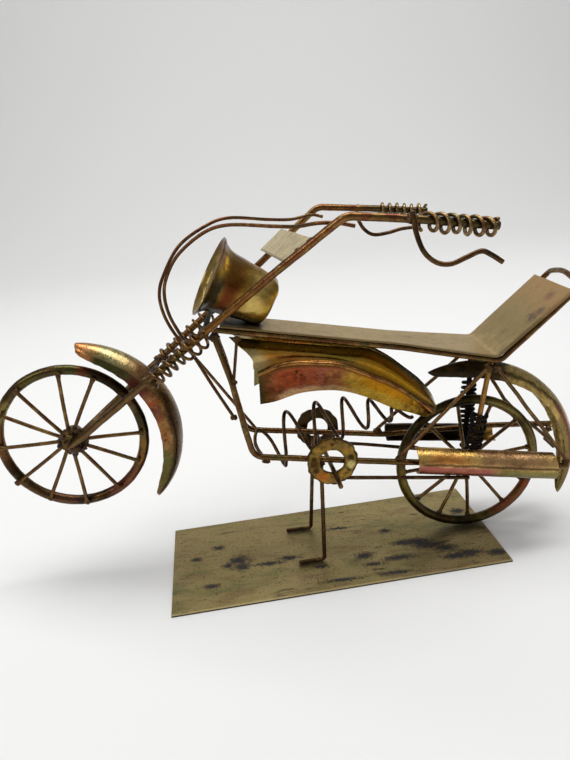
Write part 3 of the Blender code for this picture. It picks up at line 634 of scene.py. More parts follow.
def fork_details(bronze, black_and_shade, grip):
    for name, x in (("fork_crossbar_upper", -52.8), ("fork_crossbar_lower", -82.6)):
        near, far = leg_point(x, NEAR), leg_point(x, FAR)
        inset = unit(far - near) * 1.6
        # painted shade: the crossbars take the dark finish
        wire(name, [near + inset, far - inset], 2.6, black_and_shade, "bronze_wire", wobble=0.1)
    for name, side in SIDES:
        line = coil(leg_point(-82.0, side), leg_point(-54.0, side), 4.0, 7.5, (0.6, 0, -1.2),
                    0.2, 5 + side, first=0.3, lean=1.1 * side)
        wire("fork_spring_" + name, line, 1.5, bronze, "dark_wire", sides=10, step=0.5)
        middle, end = on_side(FORK_PATHS[side][3:], side)
        line = coil(middle + (end - middle) * 0.02, middle + (end - middle) * 0.98, 3.7, 6.5,
                    (0, 0, -0.8), 0.14, 8 + side, first=0.5, lean=1.5 * side)
        wire("grip_coil_" + name, line, 1.7, grip, "bronze_wire", sides=10, step=0.5)


def controls(dark):
    levers = {"near": [(37.8, 52.6, 184.0), (38.8, 53.3, 176.0), (41.2, 55.8, 168.2), (45.6, 58.0, 163.8),
                       (51.0, 59.8, 162.9), (57.0, 61.0, 165.2), (62.5, 62.0, 167.2), (66.5, 62.4, 165.3),
                       (70.8, 62.8, 162.2)],
              "far": [(32.8, 48.6, 178.2), (33.2, 49.4, 173.0), (36.9, 52.2, 166.2), (42.6, 54.6, 162.1),
                      (50.8, 56.0, 162.0), (59.5, 57.0, 163.4), (67.3, 57.4, 163.6)]}
    for name, side in SIDES:
        wire("brake_lever_" + name, smooth(on_side(levers[name], side)), 2.1, dark, "dark_wire")
    near = [(16.0, -43.2, 179.4), (9.0, -42.4, 181.2), (1.0, -39.6, 181.6), (-7.5, -33.0, 180.4),
            (-17.0, -25.0, 180.6), (-36.5, -11.0, 181.6), (-48.5, -6.5, 178.8), (-61.5, -4.4, 170.0),
            (-68.7, -3.6, 160.0), (-71.3, -3.4, 151.5), (-70.5, -3.6, 141.5), (-66.4, -4.8, 131.0),
            (-60.0, -7.2, 117.6), (-53.0, -10.6, 103.6), (-44.4, -14.6, 87.5)]
    far = [(12.6, 39.4, 176.2), (6.4, 38.6, 177.8), (-4.5, 34.4, 176.9), (-17.0, 27.6, 178.6),
           (-36.5, 13.0, 182.6), (-48.5, 8.0, 180.2), (-62.0, 4.6, 172.4), (-71.3, 3.2, 159.2),
           (-74.6, 2.8, 150.1), (-74.0, 3.0, 140.4), (-70.5, 3.8, 130.2), (-64.4, 5.4, 119.4),
           (-55.6, 8.6, 104.0), (-34.0, 14.4, 66.4)]
    red = bronze_wire("cable_brass", 12, (106, 68, 42)).done()
    wire("cable_wire_near", smooth(near), 1.7, red, "bronze_wire", sides=12)
    wire("cable_wire_far", smooth(far), 1.7, red, "bronze_wire", sides=12)


def bridge_plate(finish):
    inset = np.array((0, 3.0, 0))
    low, high = leg_point(-13.8, NEAR) + inset, leg_point(-0.8, NEAR) + inset
    far_low, far_high = np.array((-22.3, 36.0, 162.3)), np.array((-10.0, 36.0, 172.2))
    rows = []
    for r in range(24):
        s = r / 23
        row = []
        for c in range(40):
            t = c / 39
            point = (low + (far_low - low) * t) * (1 - s) + (high + (far_high - high) * t) * s
            row.append(point + np.array((0, 0, 0.25 * noise.noise(Vector((s * 2, t * 3, 1))))))
        rows.append(row)
    stand_for("bridge_plate", sheet(rows, 0.7), finish)


# ---- headlight

LAMP_MOUTH = (-49.0, 0.0, 157.2)
LAMP_FRONT = (-0.857, -0.09, 0.507)
LAMP_DEPTH = 33.0
LAMP_OUTER = [(20.2, 0.0), (17.6, 2.2), (16.2, 4.6), (15.4, 8.0), (14.7, 14.0), (14.0, 20.0),
              (13.4, 26.0), (12.6, 30.0), (11.2, 32.2), (8.0, 32.9), (3.5, 33.0), (0.05, 33.0)]


def headlight():
    f = Finish("lamp_brass", (170, 138, 56), rough=0.22, spread=0.08, bump=0.35)
    f.blotches((146, 104, 28), 9.0, 0.7, 0.4, 1, edge=0.16)
    f.blotches((150, 128, 70), 12.0, 0.6, 0.35, 2, edge=0.16)
    f.blotches((120, 70, 36), 5.0, 0.4, 0.2, 3, edge=0.1)
    # painted highlight: the bright band from 0.72 to 0.79 along the cup's outside
    f.zones(((224, 196, 120), 0.55, (0.72, 0.79), ALL, 5, 0.03, 0.08),
            ((150, 96, 34), 0.6, (0.86, 0.93), ALL, 6, 0.04),
            # painted shade: the cup's inside, from its bottom up to the lip, darkened
            ((76, 60, 28), 0.85, (0, 0.45), ALL, 4, 0.02, 0.05),
            ((92, 48, 26), 0.7, (0.46, 0.52), ALL, 7, 0.02, 0.05),
            # painted shade: the dark red-brown band from 0.6 to 0.7, beside the painted highlight
            ((96, 46, 22), 0.6, (0.6, 0.7), ALL, 3, 0.03, 0.06),
            ((172, 148, 84), 0.85, (0.36, 0.49), ALL, 8, 0.02, 0.03))
    f.paint((84, 44, 40), f.both(f.zone((0.36, 0.56), soft=0.03, seed=9, uneven=0.05),
                                    f.band(f.level((0, 0, 1)), 160, 170)), 0.75)
    f.paint((88, 34, 20), f.both(f.zone((0.625, 0.68), soft=0.015, seed=10, uneven=0.05),
                                    f.band(f.level((0, 0, 1)), 164, 150)), 0.85)
    # painted shade: the cup's underside made dark and dull
    f.dull((22, 18, 11), f.both(f.zone((0.5, 1), soft=0.02, seed=11),
                                   f.band(f.level((-0.507, 0, -0.857)), -101.0, -98.0)), 0.92)
    # painted shade: a dark band just behind the lip, on its lower half
    f.dull((26, 28, 14), f.both(f.zone((0.5, 0.62), soft=0.02, seed=2, uneven=0.05),
                                   f.band(f.level((0.5, 0, 0.86)), 122, 110)), 0.95)
    aged(f, 5, 0.4).done()
    outer = np.array([(r, 0, -d) for r, d in LAMP_OUTER])
    fine = smooth(outer, 8)[:, [0, 2]]
    inner = fine[:-1].copy()
    inner[:, 0] = np.maximum(inner[:, 0] - 0.7, 0.3)
    inner[:, 1] += np.where(fine[:-1, 1] < -28, 0.7, 0.0)
    lip = np.array([(19.8, 0.5), (20.3, 0.35)])
    profile = np.vstack([[(0.05, -LAMP_DEPTH + 0.8)], inner[::-1], lip, fine])
    cup = spun(profile, 96, LAMP_FRONT, LAMP_MOUTH, dents=0.5, dent_size=6.0)
    stand_for("headlight_cup", cup, f)

    g = Finish("lens_brass", (126, 104, 56), rough=0.6, spread=0.1, bump=0.5, metallic=0.3)
    g.blotches(OLIVE, 6.0, 0.7, 0.4, 1)
    aged(g, 2).done()
    disc = [(0.05, -1.4), (6.0, -1.5), (11.0, -1.9), (14.5, -2.4), (15.4, -2.6), (15.4, -3.2), (14.5, -3.1),
            (11.0, -2.6), (6.0, -2.2), (0.05, -2.1)]
    stand_for("headlight_disc", spun(disc, 72, LAMP_FRONT, LAMP_MOUTH, 0.4), g)


# ---- wheels

WHEEL_RADIUS, RIM_WIRE, SPOKE_WIRE = 39.6, 5.2, 2.0
HUB_RADIUS, HUB_HALF = 4.5, 7.2
FRONT_HUB = np.array((-130.3, 0.0, 81.1))
REAR_HUB = np.array((79.0, 0.0, 40.9))
FRONT_SPOKES = (0, 31, 61, 88.5, 126, 151, 180.5, 213.5, 242, 272.5, 303.5, 334)
REAR_SPOKES = (7, 38, 67, 98, 131, 158, 185, 217, 244, 272, 307, 335)


def polar(hub, degrees, radius, y=0.0):
    angle = math.radians(degrees)
    return hub + np.array((radius * math.cos(angle), y, radius * math.sin(angle)))


def rim(hub, seed):
    """A closed ring of wire, bent a little out of round."""
    line = []
    for degrees in range(0, 363, 3):
        angle = math.radians(degrees)
        bend = 0.12 * noise.noise(Vector((math.cos(angle) * 2, math.sin(angle) * 2, seed)))
        line.append(polar(hub, degrees, WHEEL_RADIUS - RIM_WIRE / 2 + bend))
    return tube(line, RIM_WIRE / 2, sides=20, step=1.5, closed=True, seed=seed)


def spokes(hub, directions, ends, y_end, flat_from):
    parts = []
    for index, (degrees, end) in enumerate(zip(directions, ends)):
        line = [polar(hub, degrees, 3.4, y_end), polar(hub, degrees + 0.6, 18, y_end),
                polar(hub, degrees, end, y_end)]
        parts.append(tube(smooth(line, 12), SPOKE_WIRE / 2, sides=12, step=0.8, seed=index,
                          flatten=lambda s: (1 + 0.5 * max(0, s - flat_from) / (1 - flat_from),
                                             1 - 0.4 * max(0, s - flat_from) / (1 - flat_from))))
    return parts


def hub_part(hub, seed):
    bore = 1.8
    profile = [(bore, HUB_HALF), (HUB_RADIUS - 0.7, HUB_HALF), (HUB_RADIUS, HUB_HALF - 1.2),
               (HUB_RADIUS - 0.4, 0.0), (HUB_RADIUS, -HUB_HALF + 1.2), (HUB_RADIUS - 0.7, -HUB_HALF),
               (bore, -HUB_HALF), (bore, 0.0)]
    return spun(profile, 40, (0, -1, 0), hub, 0.35, 2.5, seed)


def wheels(bronze, solder):
    f = Finish("front_rim_brass", (70, 58, 37), rough=0.3, spread=0.1, bump=0.4)
    f.blotches((108, 90, 56), 8.0, 0.7, 0.35, 1, edge=0.1)
    f.blotches(BROWN, 6.0, 0.7, 0.4, 2, edge=0.1)
    # the dark spot at 48 degrees is a painted shadow of the fender on the rim
    f.spots([(polar(FRONT_HUB, degrees, 37), radius, colour) for degrees, radius, colour in (
        (112, 11, (78, 74, 38)), (84, 9, (70, 72, 38)), (70, 5, (116, 52, 32)),
        (48, 17, BLACK), (10, 10, (54, 50, 30)), (-12, 7, (132, 100, 48)),
        (-25, 6, (140, 96, 48)), (-42, 10, (124, 76, 56)),
        (-58, 7, (120, 60, 58)), (-90, 9, (34, 28, 36)), (-72, 6, BLACK),
        (-110, 12, (96, 66, 54)), (180, 18, (104, 72, 44)),
        (150, 10, OLIVE), (205, 10, DARK))], 4, 0.75)
    aged(f, 8, 0.4).done()
    stand_for("front_wheel_rim", rim(FRONT_HUB, 1), f, "front_wheel")
    ends = [37.3, 36.4, 36.8, 36.2, 37.0, 36.6, 36.8, 39.1, 37.2, 37.4, 37.0, 36.4]
    parts = spokes(FRONT_HUB, FRONT_SPOKES, ends, -3.9, 0.9) + [hub_part(FRONT_HUB, 3)]
    stand_for("front_wheel_spokes", parts, bronze, "front_wheel")
    lumps = [blob(polar(FRONT_HUB, d, r - 0.8, -3.9), (1.5, 0.9, 1.1), i, 0.45, -d)
             for i, (d, r) in enumerate(zip(FRONT_SPOKES, ends))]
    centre = FRONT_HUB + np.array((1.6, 0, -0.3))
    lumps += [blob(polar(centre, d, 5.2, -4.4), (2.6, 2.2, 2.1), i + 20, 0.55, -d)
              for i, d in enumerate(FRONT_SPOKES)]
    lumps += [blob(polar(centre, 30 + 60 * i, 2.6, -5.0), (2.6, 1.9, 2.4), i + 80, 0.5) for i in range(6)]
    piece("front_wheel_solder", lumps, solder, "front_wheel")

    g = Finish("rear_rim_brass", (72, 64, 34), rough=0.32, spread=0.1, bump=0.4)
    g.blotches((98, 86, 46), 8.0, 0.7, 0.35, 1, edge=0.1)
    g.blotches((70, 62, 36), 6.0, 0.7, 0.4, 2, edge=0.1)
    g.spots([(polar(REAR_HUB, degrees, 37), radius, colour) for degrees, radius, colour in (
        (-42, 12, (128, 82, 50)), (-58, 9, (120, 72, 46)),
        (-28, 6, (132, 66, 46)), (-50, 4, (120, 56, 60)), (-92, 10, BLACK),
        (-112, 8, DARK), (100, 12, DARK), (142, 18, (42, 38, 22)),
        (56, 14, (146, 132, 78)), (16, 14, (130, 118, 72)),
        (195, 16, (112, 98, 44)))], 4, 0.75)
    aged(g, 9, 0.4).done()
    stand_for("rear_wheel_rim", rim(REAR_HUB, 2), g, "rear_wheel")
    ends = [34.4] * len(REAR_SPOKES)
    parts = spokes(REAR_HUB, REAR_SPOKES, ends, 1.5, 2.0) + [hub_part(REAR_HUB, 5)]
    stand_for("rear_wheel_spokes", parts, bronze, "rear_wheel")
    lumps = [blob(polar(REAR_HUB, d, radius, y), size, i + seed, rough)
             for radius, y, size, seed, rough in ((34.6, 1.3, (1.5, 1.2, 1.4), 40, 0.4),
                                                  (4.6, 1.5, (2.0, 1.6, 1.7), 60, 0.5))
             for i, d in enumerate(REAR_SPOKES)]
    piece("rear_wheel_solder", lumps, solder, "rear_wheel")
    for name, hub, half in (("front_axle", FRONT_HUB, 7.7), ("rear_axle", REAR_HUB, 14.0)):
        ends = [hub + np.array((0, -half, 0)), hub + np.array((0, half, 0))]
        wire(name, ends, 3.0, solder, "dark_wire")


# ---- fenders and exhausts

def fender_grid(hub, first, last, crown, drop, half_width, fold, taper):
    """Rows of points over a channel round a hub: a curved crown, a fold, then a nearly upright wall.

    fold(share) is how far down the channel's depth the fold lies; a small taper makes a blunt first tip.
    """
    rows, half = 96, [0, 0.14, 0.28, 0.42, 0.56, 0.69, 0.8, 0.88, 0.925, 0.97, 1.0]
    walls = 7
    grid = []
    for r in range(rows):
        share = r / (rows - 1)
        angle = math.radians(first + (last - first) * share)
        fullness = max(0.0004, math.sin(math.pi * share)) ** (taper if share < 0.5 else 0.46)
        profile = [(0.9 * t, fold(share) * (0.86 * t ** 2 + 0.14 * t ** 6)) for t in half]
        profile += [(0.9 + 0.1 * (k / walls) ** 0.8, fold(share) + (1 - fold(share)) * k / walls)
                    for k in range(1, walls + 1)]
        row = []
        for sign, steps in ((-1, profile[::-1]), (1, profile[1:])):
            for out, deep in steps:
                edge = 0.25 * (deep ** 6) * noise.noise(Vector((share * 30, sign * 3, 1)))
                radius = crown(share) - drop(share) * fullness * 0.9 * deep + edge
                radius += 0.1 * noise.noise(Vector((share * 9, sign * out * 3, 3.0)))
                row.append((hub[0] + radius * math.cos(angle), half_width * fullness * sign * out,
                            hub[2] + radius * math.sin(angle)))
        grid.append(row)
    return grid


FOLD = 0.19             # where the fold comes across a fender, from its edge


def fenders():
    f = Finish("front_fender_brass", (174, 148, 98), rough=0.27, spread=0.12, bump=0.4)
    f.blotches((118, 118, 72), 9.0, 0.6, 0.45, 1, edge=0.12)
    f.blotches((138, 94, 62), 6.0, 0.5, 0.35, 2, edge=0.12)
    f.zones(((214, 138, 84), 0.8, (0, 0.07), ALL, 1, 0.04),
            ((176, 172, 124), 0.55, (0.1, 0.26), (FOLD, 1), 2),
            ((164, 118, 84), 0.6, (0.26, 0.42), (FOLD, 1), 5),
            ((60, 66, 34), 0.85, (0.1, 0.4), (0, FOLD), 3, 0.02, 0.04),
            ((116, 44, 52), 0.8, (0.3, 0.44), (0, FOLD), 4, 0.04, 0.08),
            ((150, 62, 26), 0.85, (0.43, 0.5), (0, FOLD * 1.3), 6, 0.04),
            ((96, 40, 44), 0.85, (0.48, 0.56), (0, FOLD * 0.8), 7, 0.03),
            ((110, 74, 34), 0.75, (0.42, 0.62), (FOLD * 0.8, FOLD * 2), 12),
            ((142, 86, 44), 0.8, (0.55, 0.72), (0, FOLD * 0.9), 8),
            ((74, 84, 38), 0.85, (0.72, 0.93), (0, FOLD), 9, 0.05),
            ((104, 72, 50), 0.7, (0.93, 1), ALL, 13),
            # painted shade: a dark line along the fold
            ((34, 24, 24), 0.85, (0.52, 0.97), (FOLD * 0.86, FOLD * 1.6), 10, 0.03, 0.06),
            ((78, 56, 42), 0.88, (0.46, 1), (FOLD * 1.5, 1), 11))
    f.spots((((-81.5, -9, 77.5), 1.0, BLACK), ((-82.5, -9, 71.0), 0.8, BLACK), ((-84, -9, 82), 0.6, BLACK)),
            2, 0.8)
    f.blotches((70, 54, 34), 3.0, 0.55, 0.25, 14, edge=0.06, detail=5.0)
    aged(f, 11, 0.45).done()

    def crown(share):
        rise = 5.9 * math.sin(math.pi / 2 * min(1.0, share * 1.6))
        tip = 0.8 * max(0.0, (share - 0.78) / 0.22) ** 1.7
        return 51.0 + rise - 1.4 * max(0.0, share - 0.6) - tip

    grid = fender_grid(FRONT_HUB, 77, -45, crown, lambda s: 11.4, 9.4,
                       lambda s: 0.55 - 0.25 * min(1.0, max(0.0, (s - 0.15) / 0.5)), 0.3)
    stand_for("front_fender", sheet(grid), f, sharp=24)

    g = Finish("rear_fender_brass", (190, 164, 104), rough=0.27, spread=0.12, bump=0.4)
    g.blotches((138, 120, 70), 8.0, 0.7, 0.4, 1, edge=0.12)
    # painted highlight on the near wall (first row) and painted shade along the fold (second row)
    g.zones(((196, 164, 92), 0.65, (0.33, 0.62), (0.02, FOLD * 0.8), 7, 0.03),
            ((60, 50, 26), 0.7, (0.3, 0.98), (FOLD * 0.9, FOLD * 1.4), 8, 0.03),
            ((112, 98, 52), 0.7, (0.62, 1), (0, FOLD), 2),
            ((120, 60, 62), 0.75, (0.55, 0.93), (FOLD * 0.7, FOLD * 1.7), 3, 0.04, 0.1),
            ((150, 106, 92), 0.6, (0.62, 1), (FOLD * 1.5, 0.6), 4),
            ((128, 118, 58), 0.5, (0.9, 1), ALL, 6))
    # painted shadow of the seat: the fender's front part made dark and dull
    g.dull((13, 10, 6), g.zone((0.0, 0.31), (0.0, 0.88), seed=5, soft=0.05), 0.96)
    g.blotches((70, 58, 34), 3.0, 0.55, 0.25, 14, edge=0.06, detail=5.0)
    aged(g, 12, 0.45).done()
    grid = fender_grid(REAR_HUB, 111, -26, lambda s: 58.6,
                       lambda s: 11.6 - 3.6 * min(1.0, max(0.0, s - 0.14) * 3.2), 7.6, lambda s: 0.5, 0.46)
    stand_for("rear_fender", sheet(grid), g, sharp=24)


def exhaust_covers():
    f = Finish("near_cover_brass", (220, 180, 114), rough=0.25, spread=0.1, bump=0.5)
    f.blotches((134, 106, 60), 7.0, 0.7, 0.45, 1, edge=0.12, stretch=(3, 1, 1))
    f.zones(((246, 198, 108), 0.75, (0, 0.45), (0.56, 1), 1),
            ((234, 146, 72), 0.75, (0.08, 0.34), (0.56, 0.74), 2, 0.06, 0.3),
            ((160, 84, 80), 0.9, (0, 0.55), (0.12, 0.5), 3, 0.04, 0.1),
            ((198, 150, 112), 0.65, (0.45, 0.9), (0.56, 1), 4),
            ((118, 114, 62), 0.85, (0.55, 1), (0, 0.5), 5))
    f.blotches((104, 76, 42), 5.0, 0.4, 0.3, 8, edge=0.08, stretch=(5, 1, 1), detail=5.0)
    f.dull((58, 36, 20), f.zone((0.03, 1), (0.51, 0.56), seed=6, soft=0.025, uneven=0.07), 0.85)
    # painted shade: the cover's underside darker
    f.zones(((60, 48, 28), 0.85, ALL, (0, 0.14), 7, 0.03, 0.03))
    f.specks((220, 196, 170), 0.8, 0.3, 0.06, 3)
    aged(f, 13, 0.3).done()
    # painted shade: the far cover is a dark copy of the near one, darker still over most of its length
    g = Finish("far_cover_shade_brass", (84, 68, 38), rough=0.36, spread=0.12, bump=0.5)
    g.zones(((200, 160, 80), 0.85, (0.86, 1), ALL, 2))
    g.dull((22, 17, 13), g.zone((0, 0.8), seed=3), 0.85)
    aged(g, 14).done()
    shapes = {"near": ((45.2, 56.6), (117.4, 44.5), 6.8, f), "far": ((39.0, 54.2), (103.0, 46.6), 4.9, g)}
    for name, side in SIDES:
        start, end, radius, finish = shapes[name]
        grid = np.zeros((60, 33, 3))
        for r in range(60):
            share = r / 59
            x, z = start[0] + (end[0] - start[0]) * share, start[1] + (end[1] - start[1]) * share
            for c in range(33):
                turn = math.radians(-98 + 196 * c / 32)
                size = radius + 0.15 * noise.noise(Vector((share * 8, c / 6, 1.0)))
                grid[r, c] = (x, side * (20.8 + size * math.cos(turn)), z + size * math.sin(turn))
        stand_for("exhaust_cover_" + name, sheet(grid), finish)


# ---- side panels

def flat(pairs):
    return smooth([(x, 0, z) for x, z in pairs], 14)


UPPER_TOP = flat([(-42.9, 127.1), (-30.0, 124.1), (-17.5, 121.5), (11.8, 115.9), (25.5, 113.4),
                  (36.5, 106.9), (45.5, 99.1), (53.2, 91.9), (57.6, 86.1), (60.0, 79.8)])
UPPER_FRONT = flat([(-42.9, 127.1), (-39.7, 124.0), (-34.8, 119.6), (-32.2, 114.2), (-33.1, 103.3)])
UPPER_BOTTOM = flat([(-33.1, 103.8), (-20.0, 108.6), (-3.0, 109.6), (15.0, 105.4), (36.0, 94.0),
                     (48.0, 85.0), (57.8, 79.4)])
LOWER_TOP = flat([(-30.4, 111.2), (-21.3, 114.4), (-12.0, 115.2), (-2.0, 114.0), (9.8, 111.6),
                  (26.2, 103.6), (37.0, 97.6), (47.9, 88.8), (55.8, 81.2)])
LOWER_FRONT = flat([(-30.4, 111.2), (-30.6, 103.0), (-31.0, 94.4)])
LOWER_BOTTOM = flat([(-31.0, 94.4), (-23.1, 95.1), (-12.3, 97.8), (-2.3, 98.3), (9.2, 97.0),
                     (20.6, 92.8), (35.0, 84.8), (44.7, 80.8), (51.8, 77.9), (54.8, 79.0)])


def panel_grid(top, bottom, front, depth, side, columns=96, levels=22):
    upper, lower = spaced(top, count=columns), spaced(bottom, count=columns)
    edge = spaced(front, count=levels)
    grid = np.zeros((columns, levels, 3))
    for c in range(columns):
        u = c / (columns - 1)
        for k in range(levels):
            v = k / (levels - 1)
            straight = top[0] + (bottom[0] - top[0]) * v
            point = upper[c] + (lower[c] - upper[c]) * v + (edge[k] - straight) * (1 - u) ** 3
            out = depth(v) + 0.15 * noise.noise(Vector((point[0] / 7, point[2] / 7, 4.0)))
            grid[c, k] = (point[0], side * out, point[2])
    return grid


def side_panels(bronze):
    f = Finish("upper_panel_brass", (164, 138, 52), rough=0.22, spread=0.08, bump=0.45)
    f.blotches((158, 134, 58), 9.0, 0.7, 0.45, 1, edge=0.12, stretch=(2, 1, 1))
    # painted shade: the top of the upper panel, under the seat, darker
    f.zones(((70, 62, 26), 0.75, ALL, (0, 0.15), 1, 0.1, 0.1),
            ((190, 146, 62), 0.8, (0.04, 0.36), (0.28, 1), 2),
            ((190, 104, 44), 0.75, (0.1, 0.3), (0.42, 0.8), 3, 0.12, 0.4),
            ((150, 112, 62), 0.7, (0.3, 0.58), (0.55, 0.9), 4),
            ((190, 136, 28), 0.8, (0.55, 0.95), (0.16, 0.95), 5),
            ((90, 56, 20), 0.5, (0.5, 0.9), (0.72, 0.95), 8, 0.05),
            ((130, 96, 66), 0.6, (0.9, 1), (0.3, 1), 6),
            # painted shade: a thin dark line along the top edge, under the seat
            ((24, 18, 12), 0.9, ALL, (0, 0.045), 7, 0.02, 0.02),
            # painted highlight: a pale band along the front edge
            ((204, 190, 140), 0.55, (0, 0.07), (0.3, 1), 9, 0.03, 0.08))
    aged(f, 15, 0.25).done(shade_and_grime=0.6, reach=0.004)
    g = Finish("lower_panel_brass", (160, 116, 50), rough=0.22, spread=0.08, bump=0.45)
    g.zones(((160, 86, 68), 0.85, (0.03, 0.48), (0.2, 1), 1),
            ((172, 76, 28), 0.7, (0.08, 0.28), (0.25, 0.75), 2),
            ((70, 44, 14), 0.75, (0, 0.09), (0.2, 1), 11, 0.05),
            # painted highlight: a pale band along the lower edge
            ((216, 178, 124), 0.7, (0.1, 0.55), (0.84, 1), 10, 0.06),
            ((216, 172, 60), 0.9, (0.5, 0.9), (0.3, 1), 4, 0.14, 0.5),
            ((196, 130, 14), 0.8, (0.56, 0.88), (0.15, 0.6), 5))
    g.paint((110, 40, 44), g.both(g.zone((0.12, 0.46), (0.25, 0.8), seed=6),
                                     g.band(g.noise(4.0, 9), 0.5, 0.6)), 0.6)
    # painted shade: dark brown under the bead, along the top of the lower panel
    g.zones(((66, 32, 14), 0.85, (0.02, 1), (0, 0.26), 3, 0.1, 0.12),
            ((66, 60, 34), 0.85, (0, 0.025), ALL, 7, 0.02, 0.03))
    g.paint((84, 60, 16), g.both(g.zone((0.86, 1), seed=7), g.band(g.noise(2.4, 12), 0.45, 0.56)), 0.8)
    g.spots((((-11.5, -15, 109), 1.3, BLACK), ((-9.5, -15, 107), 0.9, BLACK), ((20, -15, 95), 0.7, BLACK)),
            2, 0.85)
    aged(g, 16, 0.3).done(shade_and_grime=0.6, reach=0.004)
    h = bronze_wire("bead_brass", 20, (170, 118, 62)).done()

    def upper_depth(v):
        return (4.2 + 6.6 * math.sin(math.pi / 2 * min(1.0, v * 1.9))
                - 0.25 * math.sin(math.pi * min(1.0, max(0.0, v - 0.4) / 0.5))
                + 2.6 * max(0.0, v - 0.6) / 0.4)

    def lower_depth(v):
        return 16.0 - 2.0 * math.sin(math.pi / 2 * min(1.0, v * 3.2)) + 1.9 * v ** 1.6

    for name, side in SIDES:
        upper = panel_grid(UPPER_TOP, UPPER_BOTTOM, UPPER_FRONT, upper_depth, side)
        lower = panel_grid(LOWER_TOP, LOWER_BOTTOM, LOWER_FRONT, lower_depth, side)
        stand_for("side_panel_upper_" + name, sheet(upper), f)
        stand_for("side_panel_lower_" + name, sheet(lower), g)
        bead = [(p[0], side * 16.6, p[2] - 1.2) for p in LOWER_TOP]
        wire("side_panel_bead_" + name, bead, 2.2, h, "bronze_wire")
    wire("panel_strut_near", [(-38.8, -12.6, 128.4), (-42.6, -17.8, 108.4)], 1.6, bronze, "bronze_wire")


# ---- engine, rings, stand

COIL_LEAD = [(-31, -13, 61), (-36, -1, 66), (-34, 8, 70), (-28, 6, 65)]
COIL_FRONT, COIL_PITCH, COIL_CLOSING = -22.0, 16.5, 0.55
COIL_MIDDLE, COIL_RISE = 68.0, 11.0
COIL_HALF, COIL_DEPTH, COIL_SIDE = 13.4, 0.56, -5.0
COIL_TURNS, COIL_STEPS = 5.2, 10
COIL_ARCH, COIL_FADE = 6.5, 11   # turns over which the middle line arches and the height fades out


def coil_path():
    """Flat oval turns that shrink towards the rear, after a lead bent round from the near side."""
    path = list(COIL_LEAD)
    for index in range(int(COIL_TURNS * COIL_STEPS) + 1):
        turn = index / COIL_STEPS
        phase = 2 * math.pi * turn
        along = turn + (math.cos(phase) - 1) / (2 * math.pi)
        middle = COIL_MIDDLE + COIL_RISE * math.sin(math.pi * turn / COIL_ARCH)
        half = COIL_HALF * math.cos(math.pi * turn / COIL_FADE)
        path.append((COIL_FRONT + COIL_PITCH * along - COIL_CLOSING * along ** 2,
                     COIL_SIDE - COIL_DEPTH * half * math.sin(phase),
                     middle - half * math.cos(phase)))
    return path


def engine_coil(finish):
    wire("engine_coil", smooth(coil_path()), 1.9, finish, "dark_wire", sides=12)


def crank_rings():
    near = Finish("ring_brass", (132, 106, 54), rough=0.34, spread=0.12, bump=0.7)
    near.blotches((170, 130, 50), 5.0, 0.8, 0.4, 1, edge=0.1)
    near.blotches((72, 62, 36), 3.2, 0.75, 0.32, 2, edge=0.08)
    centre = np.array((2.2, -22, 61.4))
    near.spots([(polar(centre, degrees, 9.6), radius, colour) for degrees, radius, colour in (
        (180, 3.0, BLACK), (165, 2.0, BLACK), (8, 2.6, BLACK), (-5, 2.2, DARK),
        (-30, 2.0, DARK), (205, 2.4, BLACK), (235, 4.0, (176, 100, 36)),
        (-15, 3.2, (206, 190, 120)), (88, 1.6, (90, 34, 20)))], 3, 0.85)
    near.zones(((50, 40, 24), 0.8, (0, 0.07), ALL, 5, 0.02, 0.05),
               ((50, 40, 24), 0.8, (0.38, 0.6), ALL, 6, 0.02, 0.05))
    aged(near, 17, 0.5).done()
    # painted shade: the far ring is a darker copy of the near ring's brass
    far = Finish("far_ring_shade_brass", (70, 58, 36), rough=0.36, spread=0.12, bump=0.7)
    aged(far, 19, 0.5).done()
    sizes = {"near": (2.2, 61.4, 13.0, 6.3), "far": (-0.6, 61.6, 12.0, 6.0)}
    for name, side in SIDES:
        x, z, outer, hole = sizes[name]
        profile = [(hole, -0.6), (hole + 0.4, -0.95), (hole + 2.5, -1.05), (outer - 2.5, -1.05),
                   (outer - 0.4, -0.85), (outer, -0.4), (outer, 0.4), (outer - 0.4, 0.7), (hole + 0.4, 0.7),
                   (hole, 0.4)]
        ring = spun(profile, 90, (0, -side, 0), (x, side * 21.1, z), 0.9, 3.0, side)
        stand_for("crank_ring_" + name, ring, near if side == NEAR else far)


